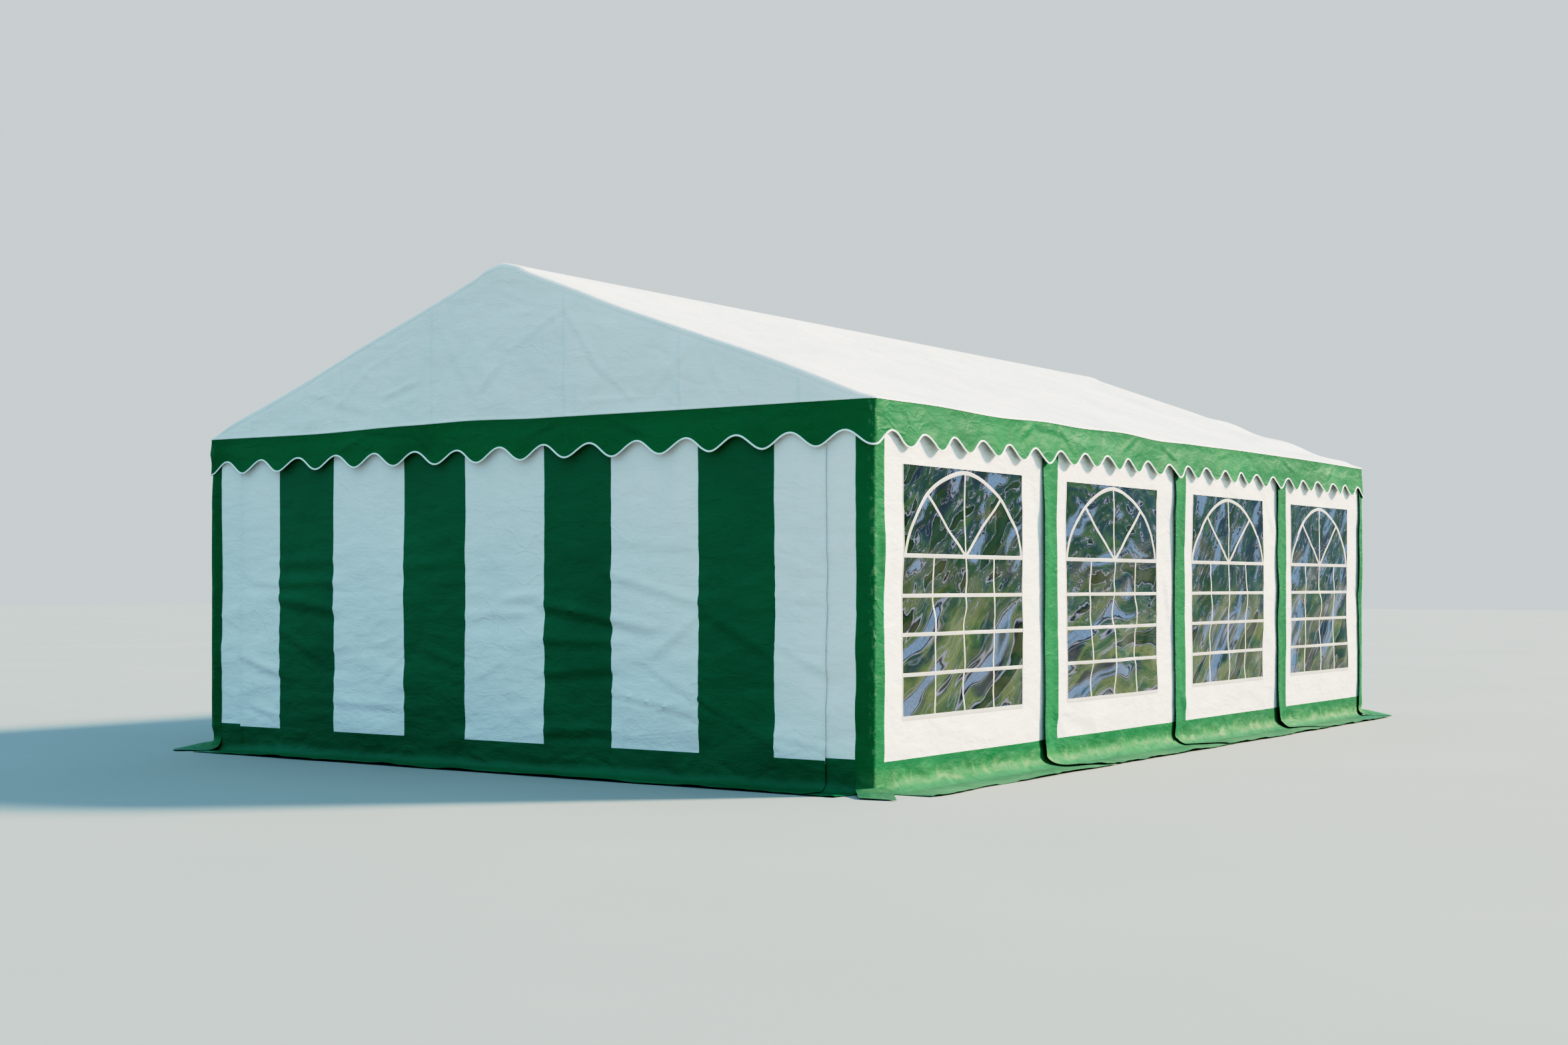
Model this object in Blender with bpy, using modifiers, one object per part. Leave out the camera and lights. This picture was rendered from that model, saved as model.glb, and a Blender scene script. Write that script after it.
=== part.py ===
"""Marquee tent, five metres wide and eight metres long, in four bays.

A frame of steel tubes carries a roof cover with a scalloped valance, side walls
with a clear window in each bay, and striped end walls. Fabric is modelled as
sheets of one thickness. Metres, +Z up, with the origin on the ground at the
middle of the footprint; the front end faces -Y.
"""
import math

import bmesh
import bpy
from mathutils import Matrix, Vector

COLLECTION = "marquee_tent"

# Overall sizes, over the outside of the wall fabric
WIDTH = 5.0
LENGTH = 8.0
BAYS = 4
EAVE_HEIGHT = 2.04
RIDGE_HEIGHT = 2.97

# Fabric: thickness of every sheet, and the fit between pieces that touch
SHEET = 0.003
GAP = 0.0003

# Steel tubes and foot plates
TUBE_RADIUS = 0.019
FOOT_SIZE = 0.10
FOOT_THICKNESS = 0.004
CROSSBAR_DROP = 0.055

# Valance: it hangs clear of the walls and ends in a row of scallops
VALANCE_STANDOFF = 0.012
VALANCE_DEPTH = 0.235
SCALLOP_RISE = 0.085
SCALLOP_PITCH = 1.0 / 3.0
SCALLOP_STEPS = 8

# Walls: bend at the foot and skirt that lies on the ground
WALL_HEIGHT = 1.99
BEND_RADIUS = 0.08
BEND_STEPS = 5
SKIRT_REACH = 0.22
SKIRT_CORNER_CUT = 0.10

# Laps: each panel's near edge lies over the far edge of the one before
LAP_STRIP = 0.19
LAP_TAIL = 0.10
LAP_RAMP = 0.03

# Windows in the side walls
WINDOW_WIDTH = 1.39
WINDOW_SILL = 0.385
WINDOW_HEIGHT = 1.34

# End walls: a door panel that laps over a corner piece at each end
DOOR_HALF_WIDTH = 2.22
DOOR_LAP = 0.06
DOOR_LAP_MARGIN = 0.02
CORNER_STRIP = 0.106
CORNER_STEPS = 4
FLAP_WIDTH = 0.18
FLAP_REACH = 0.17
FLAP_BEND_REACH = 0.09

# Places that follow from the sizes above
INNER_X = WIDTH / 2 - SHEET
INNER_Y = LENGTH / 2 - SHEET
BAY = LENGTH / BAYS
LAYER = SHEET + GAP
LEG_X = INNER_X - GAP - TUBE_RADIUS
LEG_Y = INNER_Y - GAP - TUBE_RADIUS
ROOF_X = WIDTH / 2 + VALANCE_STANDOFF + SHEET
ROOF_Y = LENGTH / 2 + VALANCE_STANDOFF + SHEET
RIDGE_TUBE_Z = RIDGE_HEIGHT - SHEET - GAP - TUBE_RADIUS
ROOF_UNDER_RADIUS = TUBE_RADIUS + GAP
ROOF_OVER_RADIUS = ROOF_UNDER_RADIUS + SHEET


def roof_angle():
    """Slope at which the cover leaves the ridge tube and ends at the eave height."""
    drop = RIDGE_TUBE_Z - EAVE_HEIGHT
    reach = math.hypot(ROOF_X, drop)
    return math.atan2(drop, ROOF_X) + math.asin(ROOF_OVER_RADIUS / reach)


SLOPE = roof_angle()


def roof_line(x, above_tubes):
    """Height at x of a line parallel to the slope, so far above the rafters' middle."""
    return RIDGE_TUBE_Z + above_tubes / math.cos(SLOPE) - math.tan(SLOPE) * abs(x)


EAVE_TUBE_Z = roof_line(LEG_X, 0.0)
LEG_TOP = EAVE_TUBE_Z - TUBE_RADIUS - GAP
VALANCE_TOP = roof_line(ROOF_X, ROOF_UNDER_RADIUS) - GAP
CROSSBAR_Z = EAVE_TUBE_Z - CROSSBAR_DROP


def make_material(name, colour, roughness, metallic=0.0, alpha=1.0):
    material = bpy.data.materials.new(name)
    material.use_nodes = True
    shader = material.node_tree.nodes["Principled BSDF"]
    shader.inputs["Base Color"].default_value = (*colour, 1.0)
    shader.inputs["Roughness"].default_value = roughness
    shader.inputs["Metallic"].default_value = metallic
    shader.inputs["Alpha"].default_value = alpha
    return material


def white_fabric(name):
    return make_material(name + "_white", (0.86, 0.85, 0.82), 0.45)


def green_fabric(name):
    return make_material(name + "_green", (0.01, 0.16, 0.07), 0.4)


def clear_film(name):
    return make_material(name + "_film", (0.35, 0.42, 0.42), 0.08, alpha=0.4)


def steel(name):
    return make_material(name + "_steel", (0.55, 0.56, 0.57), 0.35, metallic=1.0)


def add_object(name, mesh, material, collection):
    mesh.materials.clear()
    mesh.materials.append(material)
    thing = bpy.data.objects.new(name, mesh)
    collection.objects.link(thing)
    return thing


def mesh_from(bm, name):
    mesh = bpy.data.meshes.new(name)
    bm.to_mesh(mesh)
    bm.free()
    return mesh


# Tubes and plates

def tube_mesh(name, start, end):
    """A closed round bar between two points."""
    start = Vector(start)
    run = Vector(end) - start
    turn = run.to_track_quat("Z", "Y").to_matrix().to_4x4()
    place = Matrix.Translation(start + run / 2) @ turn
    bm = bmesh.new()
    bmesh.ops.create_cone(bm, cap_ends=True, segments=16, radius1=TUBE_RADIUS,
                          radius2=TUBE_RADIUS, depth=run.length, matrix=place)
    return mesh_from(bm, name)


def block_mesh(name, low, high):
    """A closed box between two corners."""
    low = Vector(low)
    high = Vector(high)
    place = Matrix.Translation((low + high) / 2) @ Matrix.Diagonal((*(high - low), 1.0))
    bm = bmesh.new()
    bmesh.ops.create_cube(bm, size=1.0, matrix=place)
    return mesh_from(bm, name)


def add_tube(name, start, end, parts):
    tube = add_object(name, tube_mesh(name, start, end), steel(name), parts)
    tube.data.shade_smooth()
    tube.data.set_sharp_from_angle(angle=math.radians(40))
    return tube


def add_leg(name, x, y, parts, tools):
    """An upright tube welded to a square foot plate."""
    leg = add_tube(name, (x, y, FOOT_THICKNESS / 2), (x, y, LEG_TOP), parts)
    half = FOOT_SIZE / 2
    plate = block_mesh(name + "_plate", (x - half, y - half, 0.0), (x + half, y + half, FOOT_THICKNESS))
    plate_tool = bpy.data.objects.new(name + "_plate", plate)
    tools.objects.link(plate_tool)
    plate_tool.hide_render = True
    plate_tool.display_type = "WIRE"
    weld = leg.modifiers.new("foot_plate", "BOOLEAN")
    weld.operation = "UNION"
    weld.object = plate_tool
    return leg


def build_frame(parts, tools):
    frame_lines = [-LEG_Y] + [-LENGTH / 2 + BAY * k for k in range(1, BAYS)] + [LEG_Y]
    tube_end_y = INNER_Y - GAP
    seat = TUBE_RADIUS + GAP
    top = Vector((0.0, 0.0, RIDGE_TUBE_Z))
    for side, sign in (("right", 1), ("left", -1)):
        eave = Vector((sign * LEG_X, 0.0, EAVE_TUBE_Z))
        down = (eave - top).normalized()
        for number, y in enumerate(frame_lines, 1):
            across = Vector((0.0, y, 0.0))
            add_leg(f"leg_{side}_{number}", sign * LEG_X, y, parts, tools)
            add_tube(f"rafter_{side}_{number}", top + across + down * seat, eave + across - down * seat, parts)
        along = Vector((0.0, tube_end_y, 0.0))
        add_tube(f"eave_tube_{side}", eave - along, eave + along, parts)
    ridge_end = Vector((0.0, tube_end_y, 0.0))
    add_tube("ridge_tube", top - ridge_end, top + ridge_end, parts)
    bar_end_x = LEG_X - seat
    for end, sign in (("front", -1), ("back", 1)):
        y = sign * LEG_Y
        add_tube(f"crossbar_{end}", (-bar_end_x, y, CROSSBAR_Z), (bar_end_x, y, CROSSBAR_Z), parts)


# Flat cut sheets

def cut_sheet(name, outline, low, material, turn, parts):
    """A flat outline in its own (u, v) plane, SHEET thick, laid on a plane of the tent."""
    curve = bpy.data.curves.new(name + "_outline", "CURVE")
    curve.dimensions = "2D"
    curve.fill_mode = "BOTH"
    curve.extrude = SHEET / 2
    spline = curve.splines.new("POLY")
    spline.points.add(len(outline) - 1)
    for point, (u, v) in zip(spline.points, outline):
        point.co = (u, v, 0.0, 1.0)
    spline.use_cyclic_u = True
    guide = bpy.data.objects.new(name + "_outline", curve)
    parts.objects.link(guide)
    guide.matrix_world = Matrix.Translation(low) @ turn
    bpy.context.view_layer.update()
    evaluated = guide.evaluated_get(bpy.context.evaluated_depsgraph_get())
    mesh = bpy.data.meshes.new_from_object(evaluated)
    place = guide.matrix_world.copy()
    bpy.data.objects.remove(guide)
    bm = bmesh.new()
    bm.from_mesh(mesh)
    bmesh.ops.remove_doubles(bm, verts=bm.verts, dist=0.00001)
    bmesh.ops.recalc_face_normals(bm, faces=bm.faces)
    bm.to_mesh(mesh)
    bm.free()
    sheet = add_object(name, mesh, material, parts)
    sheet.matrix_world = place
    return sheet


# (u, v) as (x, z) for the ends and as (y, z) for the sides
STAND_ACROSS = Matrix.Rotation(math.radians(90), 4, "X")
STAND_ALONG = Matrix.Rotation(math.radians(90), 4, "Z") @ STAND_ACROSS


def scalloped_outline(half_length, full_length):
    """Strip with a straight top, whose lower edge rises and falls in even waves."""
    waves = max(1, round(full_length / SCALLOP_PITCH))
    steps = waves * SCALLOP_STEPS
    low_edge = EAVE_HEIGHT - VALANCE_DEPTH
    outline = [(-half_length, VALANCE_TOP), (half_length, VALANCE_TOP)]
    for step in range(steps, -1, -1):
        u = half_length * (2 * step / steps - 1)
        lift = (1 - math.cos(2 * math.pi * step / SCALLOP_STEPS)) / 2
        outline.append((u, low_edge + SCALLOP_RISE * lift))
    return outline


def build_roof(parts):
    arc_steps = 4
    under = [(-ROOF_X, roof_line(ROOF_X, ROOF_UNDER_RADIUS))]
    for step in range(arc_steps + 1):
        angle = math.pi / 2 + SLOPE * (1 - 2 * step / arc_steps)
        under.append((ROOF_UNDER_RADIUS * math.cos(angle), RIDGE_TUBE_Z + ROOF_UNDER_RADIUS * math.sin(angle)))
    under.append((ROOF_X, roof_line(ROOF_X, ROOF_UNDER_RADIUS)))
    patch = [[Vector((x, y, z)) for y in (-ROOF_Y, ROOF_Y)] for x, z in under]
    add_lofted("roof_cover", [patch], white_fabric("roof_cover"), parts)

    edge = ROOF_UNDER_RADIUS - GAP
    bottom = VALANCE_TOP + GAP
    reach = (RIDGE_TUBE_Z + edge / math.cos(SLOPE) - bottom) / math.tan(SLOPE)
    gable = [(-reach, bottom), (reach, bottom)]
    for step in range(arc_steps + 1):
        angle = math.pi / 2 - SLOPE * (1 - 2 * step / arc_steps)
        gable.append((edge * math.cos(angle), RIDGE_TUBE_Z + edge * math.sin(angle)))
    across = scalloped_outline(ROOF_X, WIDTH)
    middle_y = ROOF_Y - SHEET / 2
    middle_x = ROOF_X - SHEET / 2
    for end, sign in (("front", -1), ("back", 1)):
        place = (0.0, sign * middle_y, 0.0)
        name = f"gable_{end}"
        cut_sheet(name, gable, place, white_fabric(name), STAND_ACROSS, parts)
        name = f"valance_{end}"
        cut_sheet(name, across, place, green_fabric(name), STAND_ACROSS, parts)
    along = scalloped_outline(ROOF_Y - LAYER, LENGTH)
    for side, sign in (("right", 1), ("left", -1)):
        name = f"valance_{side}"
        cut_sheet(name, along, (sign * middle_x, 0.0, 0.0), green_fabric(name), STAND_ALONG, parts)


# Sheets that bend: open surfaces on their inner or lower face, thickened outwards

def add_lofted(name, patches, material, parts, mirrored=False, hole=None):
    """Join grids of points along the edges they share and thicken them by SHEET.

    hole takes a face's middle and says whether that face is left out.
    """
    bm = bmesh.new()
    for patch in patches:
        columns = len(patch) - 1
        rows = len(patch[0]) - 1
        made = bmesh.ops.create_grid(bm, x_segments=columns, y_segments=rows, size=1.0)
        for vert in made["verts"]:
            i = round((vert.co.x + 1) / 2 * columns)
            j = round((vert.co.y + 1) / 2 * rows)
            vert.co = patch[i][j]
    bmesh.ops.remove_doubles(bm, verts=bm.verts, dist=0.00001)
    if hole:
        gone = [face for face in bm.faces if hole(face.calc_center_median())]
        bmesh.ops.delete(bm, geom=gone, context="FACES")
    if mirrored:
        bmesh.ops.reverse_faces(bm, faces=bm.faces)
    sheet = add_object(name, mesh_from(bm, name), material, parts)
    solid = sheet.modifiers.new("thickness", "SOLIDIFY")
    solid.thickness = SHEET
    solid.offset = 1.0
    solid.use_even_offset = True
    return sheet


def wall_profile(lift, heights, skirt=SKIRT_REACH + SHEET):
    """Points (outwards, up) from the skirt's edge to the wall's top, lift off the plain layer."""
    points = [(skirt, lift)]
    radius = BEND_RADIUS - lift
    for step in range(BEND_STEPS + 1):
        turn = math.pi / 2 * (1 - step / BEND_STEPS)
        points.append((BEND_RADIUS - radius * math.cos(turn), BEND_RADIUS - radius * math.sin(turn)))
    points.extend((lift, z) for z in heights)
    return points


def panel_columns(columns, heights, place):
    """Grid of points from columns of (along, layer, shift of the skirt's edge)."""
    patch = []
    for along, layer, shift in columns:
        column = []
        for row, (out, z) in enumerate(wall_profile(layer * LAYER, heights)):
            moved = along + (shift if row == 0 else 0.0)
            column.append(place(moved, out, z))
        patch.append(column)
    return patch


def build_side_walls(parts):
    window_top = WINDOW_SILL + WINDOW_HEIGHT
    heights = [WINDOW_SILL, window_top, WALL_HEIGHT]
    corner = LENGTH / 2 - CORNER_STRIP - GAP
    for side, sign in (("right", 1), ("left", -1)):
        for bay in range(BAYS):
            start = -LENGTH / 2 + bay * BAY
            middle = start + BAY / 2
            window = (middle - WINDOW_WIDTH / 2, middle + WINDOW_WIDTH / 2)
            if bay == 0:
                near = [(-corner, 0, SKIRT_CORNER_CUT)]
            else:
                near = [(start, 1, 0.0), (start + LAP_STRIP - LAP_RAMP, 1, 0.0), (start + LAP_STRIP, 0, 0.0)]
            if bay == BAYS - 1:
                far = [(corner, 0, -SKIRT_CORNER_CUT)]
            else:
                far = [(start + BAY + LAP_TAIL, 0, 0.0)]
            columns = near + [(window[0], 0, 0.0), (window[1], 0, 0.0)] + far
            patch = panel_columns(columns, heights, lambda y, out, z: Vector((sign * (INNER_X + out), y, z)))
            name = f"window_wall_{side}_{bay + 1}"
            add_lofted(name, [patch], white_fabric(name), parts, mirrored=sign < 0,
                       hole=lambda c: window[0] < c.y < window[1] and WINDOW_SILL < c.z < window_top)
            name = f"window_film_{side}_{bay + 1}"
            low = (sign * INNER_X, window[0] + GAP, WINDOW_SILL + GAP)
            high = (sign * (INNER_X + SHEET), window[1] - GAP, window_top - GAP)
            corners = [sorted(pair) for pair in zip(low, high)]
            film = block_mesh(name, [pair[0] for pair in corners], [pair[1] for pair in corners])
            add_object(name, film, clear_film(name), parts)


def build_door_panels(parts):
    lap_end = DOOR_HALF_WIDTH - DOOR_LAP - DOOR_LAP_MARGIN
    half = [(DOOR_HALF_WIDTH, 1, 0.0), (lap_end, 1, 0.0), (lap_end - LAP_RAMP, 0, 0.0)]
    columns = [(-x, layer, shift) for x, layer, shift in half] + half[::-1]
    for end, sign in (("front", -1), ("back", 1)):
        name = f"door_panel_{end}"
        patch = panel_columns(columns, [WALL_HEIGHT], lambda x, out, z: Vector((x, sign * (INNER_Y + out), z)))
        add_lofted(name, [patch], white_fabric(name), parts, mirrored=sign > 0)


def corner_path():
    """Plan of the strip round the front right corner's leg, on its inner face."""
    radius = TUBE_RADIUS + GAP
    middle = Vector((INNER_X - radius, -INNER_Y + radius))
    path = [Vector((WIDTH / 2 - CORNER_STRIP, -INNER_Y))]
    for step in range(CORNER_STEPS + 1):
        angle = math.pi / 2 * (step / CORNER_STEPS - 1)
        path.append(middle + radius * Vector((math.cos(angle), math.sin(angle))))
    path.append(Vector((INNER_X, -LENGTH / 2 + CORNER_STRIP)))
    return middle, radius, path


def corner_patch(x_sign, y_sign):
    """The strip from its top down to the flap that it ends in on the ground."""
    middle, radius, path = corner_path()
    outwards = Vector((1.0, -1.0)).normalized()
    sideways = Vector((1.0, 1.0)).normalized()
    nose = middle + radius * outwards
    runs = [(b - a).length for a, b in zip(path, path[1:])]
    shares = [sum(runs[:k]) / sum(runs) for k in range(len(path))]
    patch = []
    for point, share in zip(path, shares):
        across = sideways * (share - 0.5) * FLAP_WIDTH
        flat = nose + outwards * FLAP_BEND_REACH + across
        edge = nose + outwards * FLAP_REACH + across
        column = [(edge, 0.0)]
        for step in range(BEND_STEPS + 1):
            turn = math.pi / 2 * (1 - step / BEND_STEPS)
            column.append((point.lerp(flat, 1 - math.cos(turn)), BEND_RADIUS * (1 - math.sin(turn))))
        column.append((point, WALL_HEIGHT))
        patch.append([Vector((x_sign * plan.x, y_sign * plan.y, z)) for plan, z in column])
    return patch


def build_corner_panels(parts):
    columns = [(DOOR_HALF_WIDTH - DOOR_LAP, 0, 0.0), (WIDTH / 2 - CORNER_STRIP, 0, -SKIRT_CORNER_CUT)]
    for end, y_sign in (("front", 1), ("back", -1)):
        for side, x_sign in (("right", 1), ("left", -1)):
            panel = panel_columns(columns, [WALL_HEIGHT],
                                  lambda x, out, z: Vector((x_sign * x, -y_sign * (INNER_Y + out), z)))
            name = f"corner_panel_{end}_{side}"
            add_lofted(name, [panel, corner_patch(x_sign, y_sign)], green_fabric(name), parts,
                       mirrored=x_sign * y_sign < 0)


def main():
    for thing in list(bpy.data.objects):
        bpy.data.objects.remove(thing)
    parts = bpy.data.collections.new(COLLECTION)
    tools = bpy.data.collections.new(COLLECTION + "_cutters")
    bpy.context.scene.collection.children.link(parts)
    bpy.context.scene.collection.children.link(tools)
    build_frame(parts, tools)
    build_roof(parts)
    build_side_walls(parts)
    build_door_panels(parts)
    build_corner_panels(parts)


main()
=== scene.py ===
"""Looks of a marquee tent: sheets of coated fabric and clear film on a galvanised tube frame.

Each sheet is a grid of points on one of the tent's own surfaces, moved by ripples, folds and
laps, and closed to its real thickness. Metres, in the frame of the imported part: +Z up, the front
end faces -Y and the sunlit long side is +X.
"""

import math

import bpy
import numpy as np
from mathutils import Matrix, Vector


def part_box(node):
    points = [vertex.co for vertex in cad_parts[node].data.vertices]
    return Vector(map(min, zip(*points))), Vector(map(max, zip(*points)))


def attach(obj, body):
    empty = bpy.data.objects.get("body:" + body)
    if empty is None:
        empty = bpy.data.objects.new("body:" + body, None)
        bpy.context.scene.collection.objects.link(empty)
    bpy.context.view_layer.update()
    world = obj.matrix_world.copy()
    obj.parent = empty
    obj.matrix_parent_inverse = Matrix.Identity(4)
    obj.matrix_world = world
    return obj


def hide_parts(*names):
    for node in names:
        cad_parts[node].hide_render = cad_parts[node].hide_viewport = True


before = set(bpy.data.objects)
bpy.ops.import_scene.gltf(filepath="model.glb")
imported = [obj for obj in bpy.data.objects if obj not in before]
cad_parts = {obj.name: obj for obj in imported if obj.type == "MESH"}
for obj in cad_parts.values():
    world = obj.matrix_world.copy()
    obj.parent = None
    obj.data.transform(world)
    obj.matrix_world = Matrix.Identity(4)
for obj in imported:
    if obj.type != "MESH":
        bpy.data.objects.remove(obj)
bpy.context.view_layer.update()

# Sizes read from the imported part
FIT = 0.0003
film_low, film_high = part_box("window_film_right_1")
ridge_low, ridge_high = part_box("ridge_tube")
eave_low, eave_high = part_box("eave_tube_right")
roof_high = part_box("roof_cover")[1]
CAD_SHEET = film_high.x - film_low.x
WALL_X = film_high.x
WALL_Y = eave_high.y + FIT + CAD_SHEET
WALL_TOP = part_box("window_wall_right_1")[1].z
ROOF_X, ROOF_Y = roof_high.x, roof_high.y
TUBE_RADIUS = (ridge_high.z - ridge_low.z) / 2
RIDGE_Z = (ridge_high.z + ridge_low.z) / 2
EAVE_X = (eave_high.x + eave_low.x) / 2
EAVE_Z = (eave_high.z + eave_low.z) / 2
SLOPE = math.atan2(RIDGE_Z - EAVE_Z, EAVE_X)
VALANCE_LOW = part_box("valance_front")[0].z
CROSSBAR_Z = sum(corner.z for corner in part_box("crossbar_front")) / 2
BAYS = 4
LEG_LINES = [sum(corner.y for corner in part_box(f"leg_right_{k + 1}")) / 2 for k in range(BAYS + 1)]
BAY = (LEG_LINES[3] - LEG_LINES[1]) / 2
BAY_STARTS = [-WALL_Y + BAY * k for k in range(BAYS)]

# Thicknesses, the room that one sheet takes over another, and steps of the grids
SHEET = 0.0012
FILM = 0.0007
LAYER = 0.0014
WALL_STEP = 0.024
STRIP_STEP = 0.8 * WALL_STEP
FOOT_STEP = 0.0125
ROOF_STEP = 0.045

# Foot of the walls: bend, reach over the ground as a height below zero, and seam of the green foot band
SIDE_BEND = 0.085
END_BEND = 0.068
CORNER_BEND = 0.036
GROUND_CLEARANCE = 0.002
LOWEST = 0.0016
SIDE_SKIRT = -0.235
END_SKIRT = -0.185
BAND_SEAM = 0.165
DOOR_BAND_SEAM = 0.167
CORNER_BAND_SEAM = 0.181
SEAM_LAP = 0.018

# Laps of the side panels
STRIP_WIDTH = 0.195
STRIP_LEAD = 0.030
LAP_TAIL = 0.10
LAP_PROUD = 0.019
BACK_LAP_PROUD = 0.018
LEFT_LAP_PROUD = 0.013
LAP_SWEEP = 0.34
TAIL_SWEEP = 0.42

# Corner strips
CORNER_RADIUS = 0.024
CORNER_FRONT_EDGE = 2.396
CORNER_SIDE_EDGE = 3.892
BACK_SIDE_EDGE = 3.905
LEFT_FRONT_EDGE = 2.410
CORNER_CUT = 0.02
CORNER_INSET = 0.012
FOOT_COLUMNS = 18
FLAP_COLUMNS = 33

# Ground flaps of the corner strips: height of the fold, length of its curve, reach, heading, heading and
# width of the far edge, and how far the sides of the flap hang down to the ground
FLAP_CLEARANCE = 0.0045
FLAPS = {("front", "right"): (0.055, 0.030, 0.241, math.radians(-54.5), math.radians(10.4), 0.203, 0.0)}
PLAIN_FLAP = (0.095, 0.060, 0.265, math.radians(-45), math.radians(45), 0.186, 1.0)

# End walls: the door panel's edges, hem and upright stripes
DOOR_HALF_WIDTH = 2.22
DOOR_LAP = 0.06
DOOR_LAYER = 0.0035
DOOR_CURL = 0.006
HEM_STOPS = (0.005, 0.009, 0.013, 0.017, 0.022)
STRIPE_EDGES = [-DOOR_HALF_WIDTH, -1.862, -1.381, -0.780, -0.290, 0.316, 0.802, 1.400, 1.894,
                DOOR_HALF_WIDTH]

# Windows: ends along the wall from the bay's middle, sill and top, as each panel hangs
WINDOWS = [(-0.695, 0.715, 0.385, 1.722), (-0.678, 0.703, 0.388, 1.710),
           (-0.676, 0.695, 0.402, 1.704), (-0.695, 0.650, 0.406, 1.699)]
FILM_TUCK = 0.016
FILM_BACK = 0.0025
FILM_STEP = 0.030
SPRING_BAR = 1.240
ROW_BARS = [1.027, 0.820, 0.608]
ARCH_MARGIN = 0.018
ARCH_POWER = 1.72
ARCH_POINTS = 33
SPOKE_TIP = (0.607, 0.70)
WIDE_BAR = 0.0215
ROW_BAR = 0.92 * WIDE_BAR
SPOKE_BAR = 0.85 * WIDE_BAR
THIN_BAR = 0.014
BAR_HEIGHT = 0.0014
HEM_WIDTH = 0.024
SIDE_HEM = 0.010

# Roof, gable and valance
RIDGE_ROUND = 0.11
EAVE_ROLL = 0.008
EAVE_PROUD = 0.0015
LIP = 0.002
GABLE_ROLL = 0.028
APEX_BELL = 0.011
GABLE_HEM = 0.012
ROOF_SAG = 0.020
VALANCE_RADIUS = 0.030
SCALLOPS = {"front": 15, "right": 24, "back": 15, "left": 24}
SCALLOP_COLUMNS = 22
VALANCE_ROWS = 13
SCALLOP_RISE = 0.080
VALANCE_FLARE = 0.026
VALANCE_TUCK = 0.005
BINDING_HALF = 0.0052
BINDING_THICK = 0.0036

# Heights of the seam between roof or gable and valance, along each wall
SEAMS = {
    "front": [(-2.5, 2.036), (-1.58, 2.032), (-0.7, 2.049), (-0.25, 2.056), (0.3, 2.046), (1.4, 2.044),
              (2.5, 2.045)],
    "right": [(-4.0, 2.045), (-3.4, 2.048), (-2.62, 2.035), (-2.0, 2.048), (-1.53, 2.042), (-0.92, 2.051),
              (-0.26, 2.033), (0.3, 2.041), (1.3, 2.048), (2.6, 2.050), (4.0, 2.044)],
    "back": [(-2.5, 2.040), (-1.7, 2.047), (-0.9, 2.038), (0.2, 2.050), (1.1, 2.043), (1.9, 2.035),
             (2.5, 2.044)],
    "left": [(-4.0, 2.036), (-3.1, 2.046), (-2.2, 2.038), (-1.2, 2.050), (-0.3, 2.044), (0.8, 2.035),
             (1.7, 2.048), (2.9, 2.043), (4.0, 2.040)],
}
NOISE_CELLS = 64
QUARTER = math.pi / 2


# Numbers

def smooth(t):
    """0 below 0, 1 above 1 and an even rise between."""
    t = np.clip(t, 0.0, 1.0)
    return t * t * (3.0 - 2.0 * t)


def bell(t):
    return np.exp(-t ** 2)


def grid(u, v):
    return np.meshgrid(u, v, indexing="ij")


def noise(u, v, seed):
    """Smooth noise from -1 to 1 over a plane of unit cells, the same each run."""
    table = np.random.default_rng(seed).uniform(-1.0, 1.0, (NOISE_CELLS, NOISE_CELLS))
    u, v = np.broadcast_arrays(np.asarray(u, float), np.asarray(v, float))
    i, j = np.floor(u).astype(int), np.floor(v).astype(int)
    s, t = (part ** 3 * (part * (6 * part - 15) + 10) for part in (u - i, v - j))
    i, next_i = i % NOISE_CELLS, (i + 1) % NOISE_CELLS
    columns = (j % NOISE_CELLS, (j + 1) % NOISE_CELLS)
    low, high = (table[i, k] * (1 - s) + table[next_i, k] * s for k in columns)
    return low * (1 - t) + high * t


def ripples(u, v, size_u, size_v, seed, turn=0.0):
    """Noise with cells of size_u by size_v metres, turned by an angle."""
    c, s = math.cos(turn), math.sin(turn)
    return noise((c * u + s * v) / size_u, (c * v - s * u) / size_v, seed)


def creases(u, v, size_u, size_v, seed, turn=0.0, power=9):
    """Thin raised lines, 0 to 1, that wander and branch."""
    bent_u = u + 0.25 * size_u * ripples(u, v, size_u * 0.7, size_v * 0.7, seed + 50)
    return (1.0 - np.abs(ripples(bent_u, v, size_u, size_v, seed, turn))) ** power


def wave(u, size, seed):
    """Noise along a line."""
    return ripples(u, 0 * u, size, 1.0, seed)


def waves(u, v, seed, rows):
    """Ripples and creases together. A row is a kind, a height, two sizes, a seed step and the rest."""
    return sum(height * kind(u, v, size_u, size_v, seed + step, *rest)
               for kind, height, size_u, size_v, step, *rest in rows)


def folds(u, v, rows, widen=1.0, raised=1.0):
    """Ridges along lines, each with a shallow hollow under it, that fade past both ends.

    A row is the places of both ends in metres, and a width and a height in millimetres.
    """
    total = 0.0
    for start_u, start_v, end_u, end_v, width, height in rows:
        run_u, run_v, width = end_u - start_u, end_v - start_v, widen * width / 1000
        length = math.hypot(run_u, run_v)
        along = ((u - start_u) * run_u + (v - start_v) * run_v) / length ** 2
        across = ((v - start_v) * run_u - (u - start_u) * run_v) / length * math.copysign(1, run_u + 1e-9)
        ends = smooth((along + 0.3) / 0.5) * smooth((1.3 - along) / 0.5)
        ridge = bell(across / width) - 0.6 * bell((across + 1.9 * width) / (1.4 * width))
        total = total + raised * height / 1000 * ends * ridge
    return total


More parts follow.
